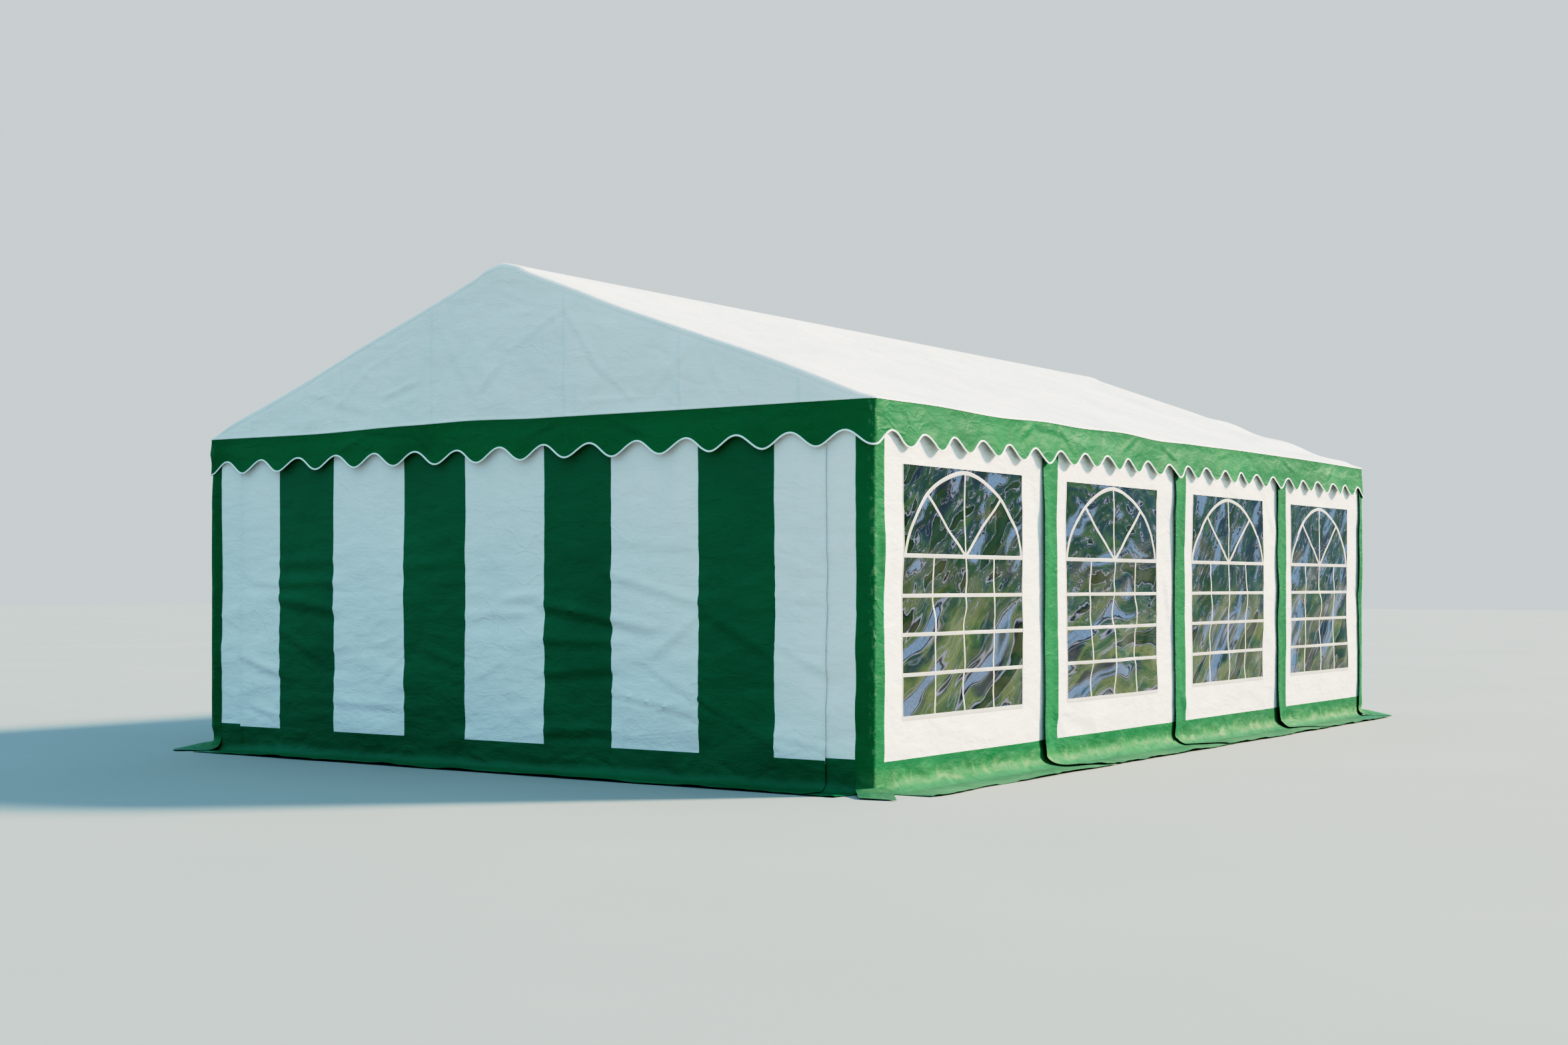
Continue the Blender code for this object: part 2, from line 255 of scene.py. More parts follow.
def weld(u, middle, width=0.025):
    """1 on a welded seam of that width, 0 beside it."""
    return smooth((width / 2 + 0.002 - np.abs(u - middle)) / 0.002)


def through(points, u):
    """A gently waving line through (place, value) points."""
    places, values = np.array(points).T
    index = np.clip(np.searchsorted(places, u) - 1, 0, len(places) - 2)
    share = smooth((u - places[index]) / (places[index + 1] - places[index]))
    return values[index] + (values[index + 1] - values[index]) * share


def spread(stops, step):
    """Grid lines through the stops, about step apart."""
    lines = [np.linspace(a, b, max(2, round((b - a) / step) + 1))[:-1] for a, b in zip(stops, stops[1:])]
    return np.concatenate([*lines, [stops[-1]]])


# Materials

class Tree:
    """A node tree. An input is a value, a colour without its alpha, or the socket that feeds it."""

    def __init__(self, tree, shader="Principled BSDF", coordinate="Object"):
        self.tree = tree
        self.shader = tree.nodes[shader]
        self.place = self.node("TexCoord", coordinate)

    def feed(self, node, inputs):
        for key, value in inputs.items():
            socket = node.inputs[key]
            if isinstance(value, bpy.types.NodeSocket):
                self.tree.links.new(value, socket)
            else:
                socket.default_value = (*value, 1.0) if socket.type == "RGBA" else value

    def node(self, kind, output, inputs=None, **settings):
        made = self.tree.nodes.new("ShaderNode" + kind)
        for key, value in settings.items():
            setattr(made, key, value)
        self.feed(made, inputs or {})
        return made.outputs[output]

    def shade(self, **inputs):
        """Feeds the shader; an underscore stands for a space."""
        self.feed(self.shader, {key.replace("_", " "): value for key, value in inputs.items()})

    def ramp(self, fac, stops):
        """A colour ramp through (position, colour) stops."""
        made = self.tree.nodes.new("ShaderNodeValToRGB")
        self.feed(made, {"Fac": fac})
        elements = made.color_ramp.elements
        while len(elements) < len(stops):
            elements.new(1.0)
        for element, (position, colour) in zip(elements, stops):
            element.position = position
            element.color = (*colour, 1.0)
        return made.outputs["Color"]

    def noise(self, place, scale, detail=3.0, roughness=0.55, distortion=0.0, output="Fac"):
        inputs = {"Vector": place, "Scale": scale, "Detail": detail, "Roughness": roughness}
        return self.node("TexNoise", output, {**inputs, "Distortion": distortion})

    def mapped(self, vector, scale=(1.0, 1.0, 1.0), turn=(0.0, 0.0, 0.0)):
        return self.node("Mapping", "Vector", {"Vector": vector, "Scale": scale, "Rotation": turn})

    def mix(self, factor, first, second, blend_type="MIX"):
        inputs = {0: factor, 6: first, 7: second}
        return self.node("Mix", 2, inputs, data_type="RGBA", blend_type=blend_type)

    def vector(self, operation, first, second):
        return self.node("VectorMath", "Vector", {0: first, 1: second}, operation=operation)

    def bumps(self, rows):
        """A chain of bumps; a row is a height, a distance and a strength."""
        normal = {}
        for height, distance, strength in rows:
            inputs = {"Height": height, "Distance": distance, "Strength": strength, **normal}
            normal = {"Normal": self.node("Bump", "Normal", inputs)}
        self.shade(**normal)

    def range(self, value, low, high, low_out=0.0, high_out=1.0):
        """A value clamped between two levels and moved to two others."""
        inputs = {"Value": value, "From Min": low, "From Max": high, "To Min": low_out, "To Max": high_out}
        return self.node("MapRange", "Result", inputs)

    def math(self, operation, first, second=0.0):
        return self.node("Math", "Value", {0: first, 1: second}, operation=operation)

    def times(self, first, second):
        return self.math("MULTIPLY", first, second)


def new_material(name):
    material = bpy.data.materials.new(name)
    material.use_nodes = True
    return material, Tree(material.node_tree)


def crumples(tree):
    """Two heights, 0 to 1, of creases where the cloth was once folded: long and short ones, in patches."""
    place = tree.place
    drift = tree.mix(0.45, tree.noise(place, 2.2, roughness=0.5, output="Color"), (0.5, 0.5, 0.5))
    level = tree.mapped(tree.vector("ADD", place, drift), (1.0, 1.0, 1.5))
    for scale, patch_scale in ((3.2, 2.4), (8.5, 3.3)):
        cells = {"Vector": level, "Scale": scale}
        line = tree.range(tree.node("TexVoronoi", "Distance", cells, feature="DISTANCE_TO_EDGE"), 0.055, 0.0)
        yield tree.times(line, tree.range(tree.noise(place, patch_scale, 2.0), 0.50, 0.68))


def wear_and_sheen(tree, lines, colour, rubbed_and_sheen, dust_and_sheen):
    """Pale patches and pale fold lines, partly scuffing and partly painted sun sheen and painted highlight
    on crease ridges; scuffed spots down the corner folds; and near the ground a paler tone, partly dirt and
    partly painted grazing sheen.
    """
    place = tree.place
    x, y, z = (tree.node("SeparateXYZ", axis, {"Vector": place}) for axis in "XYZ")
    turned = tree.mapped(place, (1.0, 1.0, 0.5), (0.5, 0.5, 0.2))
    # Pale marks over the cloth and pale fold lines on crease ridges: partly scuffs, partly painted sun sheen
    # and painted highlight
    pale_marks_and_sheen = tree.range(tree.noise(turned, 6.5, 7.0, 0.66, 0.8), 0.65, 0.80, 0.0, 0.13)
    across, along = (tree.range(tree.math("ABSOLUTE", axis), wall - 0.040, wall - 0.008)
                     for axis, wall in ((x, WALL_X), (y, WALL_Y)))
    spots = tree.range(tree.noise(tree.mapped(place, (1.0, 1.0, 0.6)), 34.0, 4.0, 0.6), 0.52, 0.62)
    spots = tree.times(tree.times(across, along), spots)
    bent = tree.times(tree.range(z, 0.008, 0.03), tree.range(z, 0.13, 0.07))
    scuffs = tree.range(tree.noise(place, 12.0, 3.0, 0.5, 0.3), 0.50, 0.68, 0.11, 0.44)
    for more, share in ((lines, 0.07), (spots, 0.45), (bent, scuffs)):
        pale_marks_and_sheen = tree.math("MAXIMUM", pale_marks_and_sheen, tree.times(more, share))
    # Near the ground the cloth turns paler and greyer: partly dust, partly painted sheen of sky and sun at
    # grazing angles
    low = tree.range(z, 0.040, 0.006, 0.0, 0.75)
    dust_and_sheen_patches = tree.range(tree.noise(place, 9.0, 5.0, 0.6), 0.35, 0.65, 0.60, 1.0)
    return tree.mix(tree.times(low, dust_and_sheen_patches), tree.mix(pale_marks_and_sheen, colour, rubbed_and_sheen), dust_and_sheen)


def make_fabric(name, tones, soil, soil_amount, roughness, gloss, worn_and_sheen=None):
    """Coated tarpaulin: woven base, crumple lines, cloudy tone and soil, and, where it has seen use,
    scuffing with painted sun sheen.
    """
    material, tree = new_material(name)
    place = tree.place
    colour = tree.ramp(tree.noise(place, 1.1, 4.0), list(zip((0.30, 0.50, 0.72), tones)))
    streaked = tree.noise(tree.mapped(place, (1.0, 1.0, 0.5)), 7.0, 5.0, 0.6)
    colour = tree.mix(tree.range(streaked, 0.50, 0.78, 0.0, soil_amount), colour, soil)
    long_lines, short_lines = crumples(tree)
    if worn_and_sheen:
        colour = wear_and_sheen(tree, short_lines, colour, *worn_and_sheen)
    glossy = tree.range(tree.noise(place, 3.2, 4.0), 0.35, 0.65, *roughness)
    tree.shade(Base_Color=colour, Roughness=glossy, Specular_IOR_Level=gloss)

    warp = tree.node("TexWave", "Fac", {"Vector": place, "Scale": 120.0}, bands_direction="Z")
    turned = tree.mapped(place, turn=(0, 0, math.pi / 4))
    weft = tree.node("TexWave", "Fac", {"Vector": turned, "Scale": 85.0}, bands_direction="X")
    level = tree.mapped(place, (1.0, 1.0, 2.4))
    tree.bumps([(tree.noise(place, 5.0, 3.0, 0.5), 0.010, 0.5),
                (tree.noise(level, 5.5, 5.0, 0.55, 0.35), 0.024, 0.5),
                (long_lines, 0.0050 if worn_and_sheen else 0.0030, 0.6),
                (short_lines, 0.0026 if worn_and_sheen else 0.0014, 0.6),
                (tree.noise(place, 26.0, 3.0, 0.6), 0.0012, 0.5),
                (tree.mix(0.5, warp, weft), 0.0003, 0.35)])
    return material


# Tones of the film's painted reflection of trees, grass and sky, and the bands they make
FILM_REFLECTION_TONES = {
    "black": (0.002, 0.003, 0.003), "navy": (0.006, 0.010, 0.019), "teal": (0.009, 0.024, 0.028),
    "deep": (0.009, 0.027, 0.011), "olive": (0.009, 0.022, 0.0015), "green": (0.018, 0.042, 0.018),
    "mid": (0.030, 0.064, 0.022), "grass": (0.072, 0.100, 0.038), "blue": (0.080, 0.135, 0.225),
    "lilac": (0.125, 0.145, 0.205),
}
UPPER_REFLECTION = [(0.30, "olive"), (0.37, "navy"), (0.43, "teal"), (0.48, "green"), (0.53, "deep"),
                (0.58, "teal"), (0.64, "mid"), (0.70, "olive")]
LOWER_REFLECTION = [(0.32, "navy"), (0.39, "teal"), (0.44, "mid"), (0.50, "grass"), (0.55, "mid"),
                (0.60, "green"), (0.65, "teal"), (0.71, "grass")]
REFLECTION_ISLANDS = [(0.30, "deep"), (0.36, "olive"), (0.395, "olive"), (0.400, "black"), (0.409, "black"),
           (0.413, "lilac"), (0.583, "lilac"), (0.587, "black"), (0.595, "black"), (0.600, "blue"),
           (0.66, "blue"), (0.69, "teal"), (0.72, "lilac")]
REFLECTION_ISLAND_COVER = [(0.424, 1.0), (0.428, 0.0), (0.449, 0.0), (0.452, 0.5), (0.456, 0.5), (0.459, 0.0),
                (0.541, 0.0), (0.544, 0.5), (0.549, 0.5), (0.552, 0.0), (0.569, 0.0), (0.573, 1.0)]


def make_film(name, turn, swirl):
    """Clear flexible film whose colour is a painted reflection: dim greens and streaks over its wavy
    surface, broader lower down.
    """
    material, tree = new_material(name)
    place = tree.place
    drift = tree.noise(place, 1.5, 2.0, 0.5, output="Color")
    drift = tree.vector("SUBTRACT", drift, (0.5, 0.5, 0.5))
    drift = tree.node("VectorMath", "Vector", {0: drift, "Scale": swirl}, operation="SCALE")
    bent = tree.vector("ADD", place, drift)
    turned = tree.mapped(bent, turn=(turn, 0.0, 0.0))
    # The painted reflection uses the upper tones higher up and the lower ground tones below
    high = tree.range(tree.node("SeparateXYZ", "Z", {"Vector": bent}), 0.80, 1.15)

    def tones(fac, stops):
        return tree.ramp(fac, [(level, FILM_REFLECTION_TONES[tone]) for level, tone in stops])

    def greys(fac, stops):
        return tree.ramp(fac, [(level, (share,) * 3) for level, share in stops])

    cloudy = tree.noise(tree.mapped(turned, (0.15, 0.8, 2.6)), 2.0, 4.0, 0.5)
    ground = tree.mix(high, tones(cloudy, LOWER_REFLECTION), tones(cloudy, UPPER_REFLECTION))
    busy = tree.noise(tree.mapped(turned, (0.15, 1.25, 3.6)), 2.3, 4.0, 0.45, 0.25)
    broad = tree.noise(tree.mapped(turned, (0.15, 0.45, 3.2)), 1.7, 3.0, 0.40, 0.15)
    streak = tree.node("Mix", 0, {0: high, 2: broad, 3: busy}, data_type="FLOAT")
    colour = tree.mix(greys(streak, REFLECTION_ISLAND_COVER), ground, tones(streak, REFLECTION_ISLANDS))
    speckle = greys(tree.noise(place, 70.0, 3.0, 0.6), [(0.3, 0.62), (0.7, 1.0)])
    fine = tree.noise(tree.mapped(turned, (1.0, 1.4, 5.0)), 5.0, 2.0)
    tree.shade(Base_Color=tree.mix(1.0, colour, speckle, "MULTIPLY"), Specular_IOR_Level=0.22, Alpha=0.92,
               Roughness=tree.range(fine, 0.3, 0.7, 0.10, 0.22))
    tree.bumps([(fine, 0.004, 0.5)])
    return material


def make_cream():
    """The welded window bars and hems, slightly yellowed, with a light dusting."""
    material, tree = new_material("cream_bars")
    place = tree.place
    stops = [(0.35, (0.42, 0.405, 0.355)), (0.65, (0.54, 0.52, 0.465))]
    tree.shade(Base_Color=tree.ramp(tree.noise(place, 6.0, 4.0), stops),
               Roughness=tree.range(tree.noise(place, 20.0), 0.3, 0.7, 0.45, 0.60))
    tree.bumps([(tree.noise(place, 60.0), 0.0006, 0.5)])
    return material


def make_steel():
    """Galvanised tube with faint spangle and scratches."""
    material, tree = new_material("galvanised_steel")
    place = tree.place
    spangle = tree.node("TexVoronoi", "Color", {"Vector": place, "Scale": 90.0})
    dull = tree.ramp(spangle, [(0.2, (0.44, 0.45, 0.46)), (0.8, (0.62, 0.63, 0.64))])
    rough = tree.ramp(tree.noise(place, 30.0), [(0.3, (0.32, 0.32, 0.32)), (0.7, (0.5, 0.5, 0.5))])
    tree.shade(Base_Color=dull, Roughness=rough, Metallic=1.0)
    tree.bumps([(tree.noise(place, 220.0), 0.0003, 0.4)])
    return material


WHITE = make_fabric("white_tarpaulin", [(0.765, 0.765, 0.745), (0.800, 0.795, 0.775), (0.825, 0.820, 0.800)],
                    (0.66, 0.68, 0.65), 0.22, (0.42, 0.56), 0.38)
# Two copies of the green cloth with tones set one for shade and one for sun: this one, tuned to the shaded
# end walls, goes on the ends; the worn copy, tuned to the sunlit side, goes on the sides, corners and
# valance and carries painted sun sheen
GREEN_SHADE_COPY = make_fabric("green_tarpaulin", [(0.002, 0.088, 0.036), (0.003, 0.103, 0.042), (0.004, 0.118, 0.048)],
                    (0.005, 0.078, 0.042), 0.30, (0.45, 0.58), 0.20)
WORN_GREEN_LIT_COPY = make_fabric("worn_green_tarpaulin_lit_copy",
                         [(0.003, 0.092, 0.032), (0.005, 0.108, 0.038), (0.008, 0.124, 0.044)],
                         (0.006, 0.082, 0.036), 0.30, (0.52, 0.66), 0.10,
                         ((0.16, 0.26, 0.13), (0.062, 0.162, 0.098)))
# The binding is a lighter, greener copy of the white cloth: its extra brightness paints the sky light that
# its rounded welt catches
BINDING_LIT_COPY = make_fabric("white_binding_painted_highlight", [(0.84, 0.87, 0.83), (0.87, 0.90, 0.86), (0.89, 0.92, 0.88)],
                      (0.74, 0.77, 0.72), 0.20, (0.45, 0.58), 0.35)
CREAM = make_cream()
STEEL = make_steel()
FILM_REFLECTION_SWIRLS = [(-0.62, 0.34), (-0.14, 0.42), (-0.85, 0.30), (-0.85, 0.28)]
FILMS = [make_film(f"clear_film_painted_reflection_{k + 1}", turn, swirl) for k, (turn, swirl) in enumerate(FILM_REFLECTION_SWIRLS)]


# Meshes

def link(name, data):
    """A new object in the scene."""
    thing = bpy.data.objects.new(name, data)
    bpy.context.scene.collection.objects.link(thing)
    return thing


def link_mesh(name, points, faces, material):
    mesh = bpy.data.meshes.new(name)
    mesh.from_pydata(points.tolist(), [], faces.tolist())
    mesh.update()
    mesh.materials.append(material)
    return link(name, mesh)


def add_mesh(name, points, faces, material):
    """A piece of the tent, smooth apart from its sharp edges."""
    thing = link_mesh(name, points, faces, material)
    thing.data.shade_smooth()
    thing.data.set_sharp_from_angle(angle=math.radians(48))
    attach(thing, "root")
    return thing


def grid_quads(index):
    """Quads between the points of a grid of indices."""
    return np.stack([index[:-1, :-1], index[1:, :-1], index[1:, 1:], index[:-1, 1:]], axis=-1)


def tube_quads(index):
    """Quads of a tube's wall, from the indices of its rings."""
    side = np.roll(index, -1, axis=1)
    return np.stack([index[:-1], side[:-1], side[1:], index[1:]], axis=-1).reshape(-1, 4)


def unit(vectors):
    return vectors / np.linalg.norm(vectors, axis=-1, keepdims=True)


def grid_normals(points, outward, closed):
    """Unit normals of a grid on the side that outward points to, and whether they were turned over."""
    along = np.gradient(np.concatenate([points[-1:], points, points[:1]]) if closed else points, axis=0)
    normals = np.cross(along[1:-1] if closed else along, np.gradient(points, axis=1))
    sizes = np.linalg.norm(normals, axis=2, keepdims=True)
    plain = np.broadcast_to(outward, points.shape)
    normals = np.where(sizes > 1e-12, normals / np.maximum(sizes, 1e-12), plain)
    flipped = (normals * outward).sum() < 0
    return -normals if flipped else normals, flipped


def add_sheet(name, points, outward, material, keep=None, thickness=SHEET, closed=False):
    """A closed sheet whose outer face is a grid of points; keep says which faces stay."""
    normals, flipped = grid_normals(points, outward, closed)
    count = points.shape[0] * points.shape[1]
    index = np.arange(count).reshape(points.shape[:2])
    quads = grid_quads(np.concatenate([index, index[:1]]) if closed else index)
    quads = quads.reshape(-1, 4) if keep is None else quads[keep]
    if flipped:
        quads = quads[:, ::-1]
    starts, ends = quads.ravel(), np.roll(quads, -1, axis=1).ravel()
    border = ~np.isin(starts * count + ends, ends * count + starts)
    starts, ends = starts[border], ends[border]
    rim = np.stack([ends, starts, starts + count, ends + count], axis=-1)
    faces = np.concatenate([quads, quads[:, ::-1] + count, rim])
    vertices = np.concatenate([points.reshape(-1, 3), (points - normals * thickness).reshape(-1, 3)])
    used, faces = np.unique(faces, return_inverse=True)
    return add_mesh(name, vertices[used], faces.reshape(-1, 4), material)


def declare(piece, nodes):
    """Hides the imported part's nodes that a fabric sheet stands for, and returns the sheet."""
    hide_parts(*nodes)
    return piece


# The walls' own surfaces

UP = np.array([0.0, 0.0, 1.0])
ALONG_X, ALONG_Y = np.array([1.0, 0.0, 0.0]), np.array([0.0, 1.0, 0.0])
WALLS = {"right": (WALL_X * ALONG_X, ALONG_Y, ALONG_X), "left": (-WALL_X * ALONG_X, ALONG_Y, -ALONG_X),
         "front": (-WALL_Y * ALONG_Y, ALONG_X, -ALONG_Y), "back": (WALL_Y * ALONG_Y, ALONG_X, ALONG_Y)}
SEEDS = {"right": 100, "left": 200, "front": 300, "back": 400}


def bend_radius(wall, along):
    """Radius of the foot bend, tighter where a wall meets its corners."""
    half, middle = (WALL_Y, SIDE_BEND) if wall in ("right", "left") else (WALL_X, END_BEND)
    return middle - (middle - CORNER_BEND) * bell((half - np.abs(along)) / 0.22)


def bend(height, radius):
    """Turn, distance out and rise of cloth that runs down, round a bend and over the ground."""
    turn = np.clip((radius - height) / radius, 0.0, QUARTER)
    out = radius * (1 - np.cos(turn)) + np.maximum(radius - QUARTER * radius - height, 0.0)
    return turn, out, np.where(height > radius, height, radius * (1 - np.sin(turn)))


def wall_points(wall, along, height, lift):
    """Points of a wall. Height runs on below the foot bend, round it and out over the ground."""
    origin, run, out = WALLS[wall]
    along, height, lift = np.broadcast_arrays(along, height, lift)
    turn, reach, rise = bend(height, bend_radius(wall, along))
    across = reach + lift * np.cos(turn)
    rise = np.maximum(rise + (lift + GROUND_CLEARANCE) * np.sin(turn), LOWEST)
    return origin + along[..., None] * run + across[..., None] * out + rise[..., None] * UP


def body_of_wall(height):
    """How free the cloth is at a height: held under the eave and at the foot."""
    return smooth((WALL_TOP - height) / 0.35) * smooth((height - 0.02) / 0.22)


def keep_clear(lift, along, stations, depth=0.03):
    """Cloth lies on a tube at each station and may hang in by depth between them."""
    gap = np.min([np.abs(along - station) for station in stations], axis=0)
    return np.maximum(lift, -0.001 - depth * smooth((gap - 0.022) / 0.12))


FOOT_DENTS = [(ripples, 0.005, 0.15, 0.10, 13), (creases, 0.006, 0.17, 0.13, 14, 0.8, 5),
              (creases, -0.005, 0.13, 0.15, 15, -0.7, 5)]
SKIRT_WAVES = [(ripples, 1.0, 0.19, 0.5, 11), (ripples, 0.5, 0.07, 0.3, 12)]


def foot_ripples(wall, along, height):
    """Waves of the skirt's edge over the ground and soft dents in the bend."""
    edge = 0.007 * smooth((-0.02 - height) / 0.16) * (0.9 + waves(along, height, SEEDS[wall], SKIRT_WAVES))
    in_bend = smooth((BAND_SEAM - 0.01 - height) / 0.07) * smooth((height + 0.09) / 0.1)
    return np.maximum(edge, 0.0) + in_bend * waves(along, height, SEEDS[wall], FOOT_DENTS)


SIDE_WAVES = [(ripples, 0.0075, 0.62, 0.46, 0), (ripples, 0.0042, 0.24, 0.21, 1),
              (creases, 0.0028, 0.55, 0.34, 2, 0.7), (creases, -0.0024, 0.42, 0.5, 3, -0.5)]
SIDE_FOLDS = [
    (-2.10, 1.66, -1.96, 1.30, 30, 6), (-1.86, 0.34, -1.70, 0.20, 25, 5), (-3.30, 0.31, -2.95, 0.25, 30, 5),
    (-0.16, 1.15, -0.06, 0.86, 30, 6), (-1.75, 0.33, -1.30, 0.24, 30, 5), (0.10, 0.36, 0.26, 0.22, 30, 6),
    (1.75, 1.75, 1.92, 1.50, 30, 6), (0.9, 0.29, 1.5, 0.33, 30, 4),
]


def side_lift(wall, y, z):
    """How far a side wall's cloth stands out from its plane."""
    mirror = 1.0 if wall == "right" else -1.0
    lift = waves(y, z, SEEDS[wall], SIDE_WAVES) + folds(mirror * y, z, SIDE_FOLDS)
    return keep_clear(lift * body_of_wall(z), y, LEG_LINES)


def window_box(bay):
    """Ends of a window along the wall, its sill and its top."""
    near, far, sill, top = WINDOWS[bay]
    middle = BAY_STARTS[bay] + BAY / 2
    return middle + near, middle + far, sill, top


FILM_WAVES = [(ripples, 0.014, 0.34, 0.15, 0, 0.35), (ripples, 0.004, 0.16, 0.08, 7)]


def film_lift(wall, bay, y, z):
    """The film follows the wall at its edges and waves by itself inside them."""
    near, far, sill, top = window_box(bay)
    inside = smooth((y - near) / 0.12) * smooth((far - y) / 0.12)
    inside = inside * smooth((z - sill) / 0.10) * smooth((top - z) / 0.10)
    lower = 0.4 + 0.6 * smooth((SPRING_BAR + 0.05 - z) / 0.2)
    lift = side_lift(wall, y, z) + inside * lower * waves(y, z, SEEDS[wall] + 20 + bay, FILM_WAVES)
    return lift - FILM_BACK * smooth((z - top + 0.06) / 0.05)


END_WAVES = [(ripples, 0.009, 0.75, 0.55, 0), (creases, 0.0034, 0.5, 0.26, 2, 0.35),
             (creases, -0.003, 0.36, 0.3, 3, -0.4)]
LOW_END_WAVES = [(ripples, 0.0066, 0.34, 0.15, 1, 0.12), (ripples, 0.0032, 0.15, 0.055, 4, 0.08)]
END_FOLDS = [
    (-1.85, 1.22, -1.38, 1.24, 35, 7), (-1.85, 1.10, -1.38, 1.10, 30, 8), (-1.88, 1.00, -1.36, 0.93, 40, 14),
    (-1.82, 0.79, -1.50, 0.62, 35, 8), (-2.20, 0.62, -1.80, 0.50, 30, 12), (-2.13, 0.31, -1.88, 0.25, 20, 9),
    (-2.12, 1.11, -1.88, 1.09, 25, 7), (-2.41, 0.89, -2.24, 0.81, 20, 6), (-1.36, 0.68, -0.94, 0.73, 18, 6),
    (-0.96, 0.72, -0.80, 0.80, 16, 6), (-0.79, 0.64, -1.05, 0.46, 16, 5), (-1.36, 0.36, -0.80, 0.34, 28, 8),
    (0.00, 1.00, 0.29, 1.03, 30, 8), (-0.27, 0.90, 0.26, 0.93, 35, 8), (-0.16, 0.55, 0.02, 0.64, 22, 6),
    (-0.62, 0.70, -0.31, 0.61, 30, 6), (-0.72, 1.21, -0.30, 1.23, 40, 6), (0.28, 0.98, 1.05, 0.85, 36, 15),
    (0.30, 0.77, 0.82, 0.76, 30, 9), (0.32, 0.58, 0.80, 0.61, 30, 9), (0.34, 0.24, 0.80, 0.27, 30, 8),
    (0.80, 1.14, 1.40, 0.99, 32, 10), (1.10, 0.70, 1.40, 0.92, 28, 9), (1.04, 0.63, 1.42, 0.45, 14, 9),
    (0.82, 0.48, 1.40, 0.37, 18, 9), (1.48, 0.92, 1.86, 0.72, 36, 8), (1.43, 0.45, 1.92, 0.21, 13, 7),
    (1.90, 1.20, 2.21, 1.14, 18, 6), (1.92, 0.76, 2.21, 0.63, 20, 9), (1.91, 1.03, 2.21, 1.00, 18, 6),
    (1.92, 0.29, 2.21, 0.22, 16, 7), (0.86, 1.33, 1.38, 1.29, 35, 6), (2.24, 0.84, 2.39, 0.96, 18, 5),
]
# Upright creases: place across the wall, lower end and upper end
END_CREASES = [(-1.07, 0.17, 1.67), (0.91, 0.17, 0.86), (-2.02, 1.25, 1.85), (2.05, 0.95, 1.80)]


def end_lift(wall, x, z):
    """How far an end wall's cloth stands out from its plane."""
    seed = SEEDS[wall]
    mirror = 1.0 if wall == "front" else -1.0
    low_body = 0.35 + 0.65 * smooth((1.5 - z) / 0.5)
    lift = waves(x, z, seed, END_WAVES) + low_body * waves(x, z, seed, LOW_END_WAVES)
    lift = lift + folds(mirror * x, z, END_FOLDS, 0.75, 1.15)
    for middle, low, high in END_CREASES:
        length = smooth((z - low) / 0.08) * smooth((high - z) / 0.08)
        lift = lift + 0.0040 * length * np.exp(-np.abs(mirror * x - middle) / 0.012)
    lift = keep_clear(lift * body_of_wall(z), x, (-EAVE_X, EAVE_X))
    return np.where(np.abs(z - CROSSBAR_Z) < 0.04, np.maximum(lift, -0.001), lift)


# Side walls

def lap_proud(from_edge, height, seed):
    """How far a lap's free edge stands off the panel below it."""
    at_height = 0.55 + 0.45 * smooth((WALL_TOP - height) / 0.5) + 0.4 * smooth((0.35 - height) / 0.25)
    upright = smooth((height + 0.06) / 0.10)
    hanging = LAP_PROUD * at_height * (1.0 + 0.38 * wave(height, 0.36, seed))
    on_ground = 0.007 + 0.004 * wave(height, 0.05, seed + 3)
    return (1.0 - smooth(from_edge / 0.18)) * (hanging * upright + on_ground * (1 - upright)) + 1.6 * LAYER


def before_strip(past_edge):
    """1 where a foot shows and 0 where it lies flat under a corner strip."""
    return 1 - smooth(past_edge / 0.05)


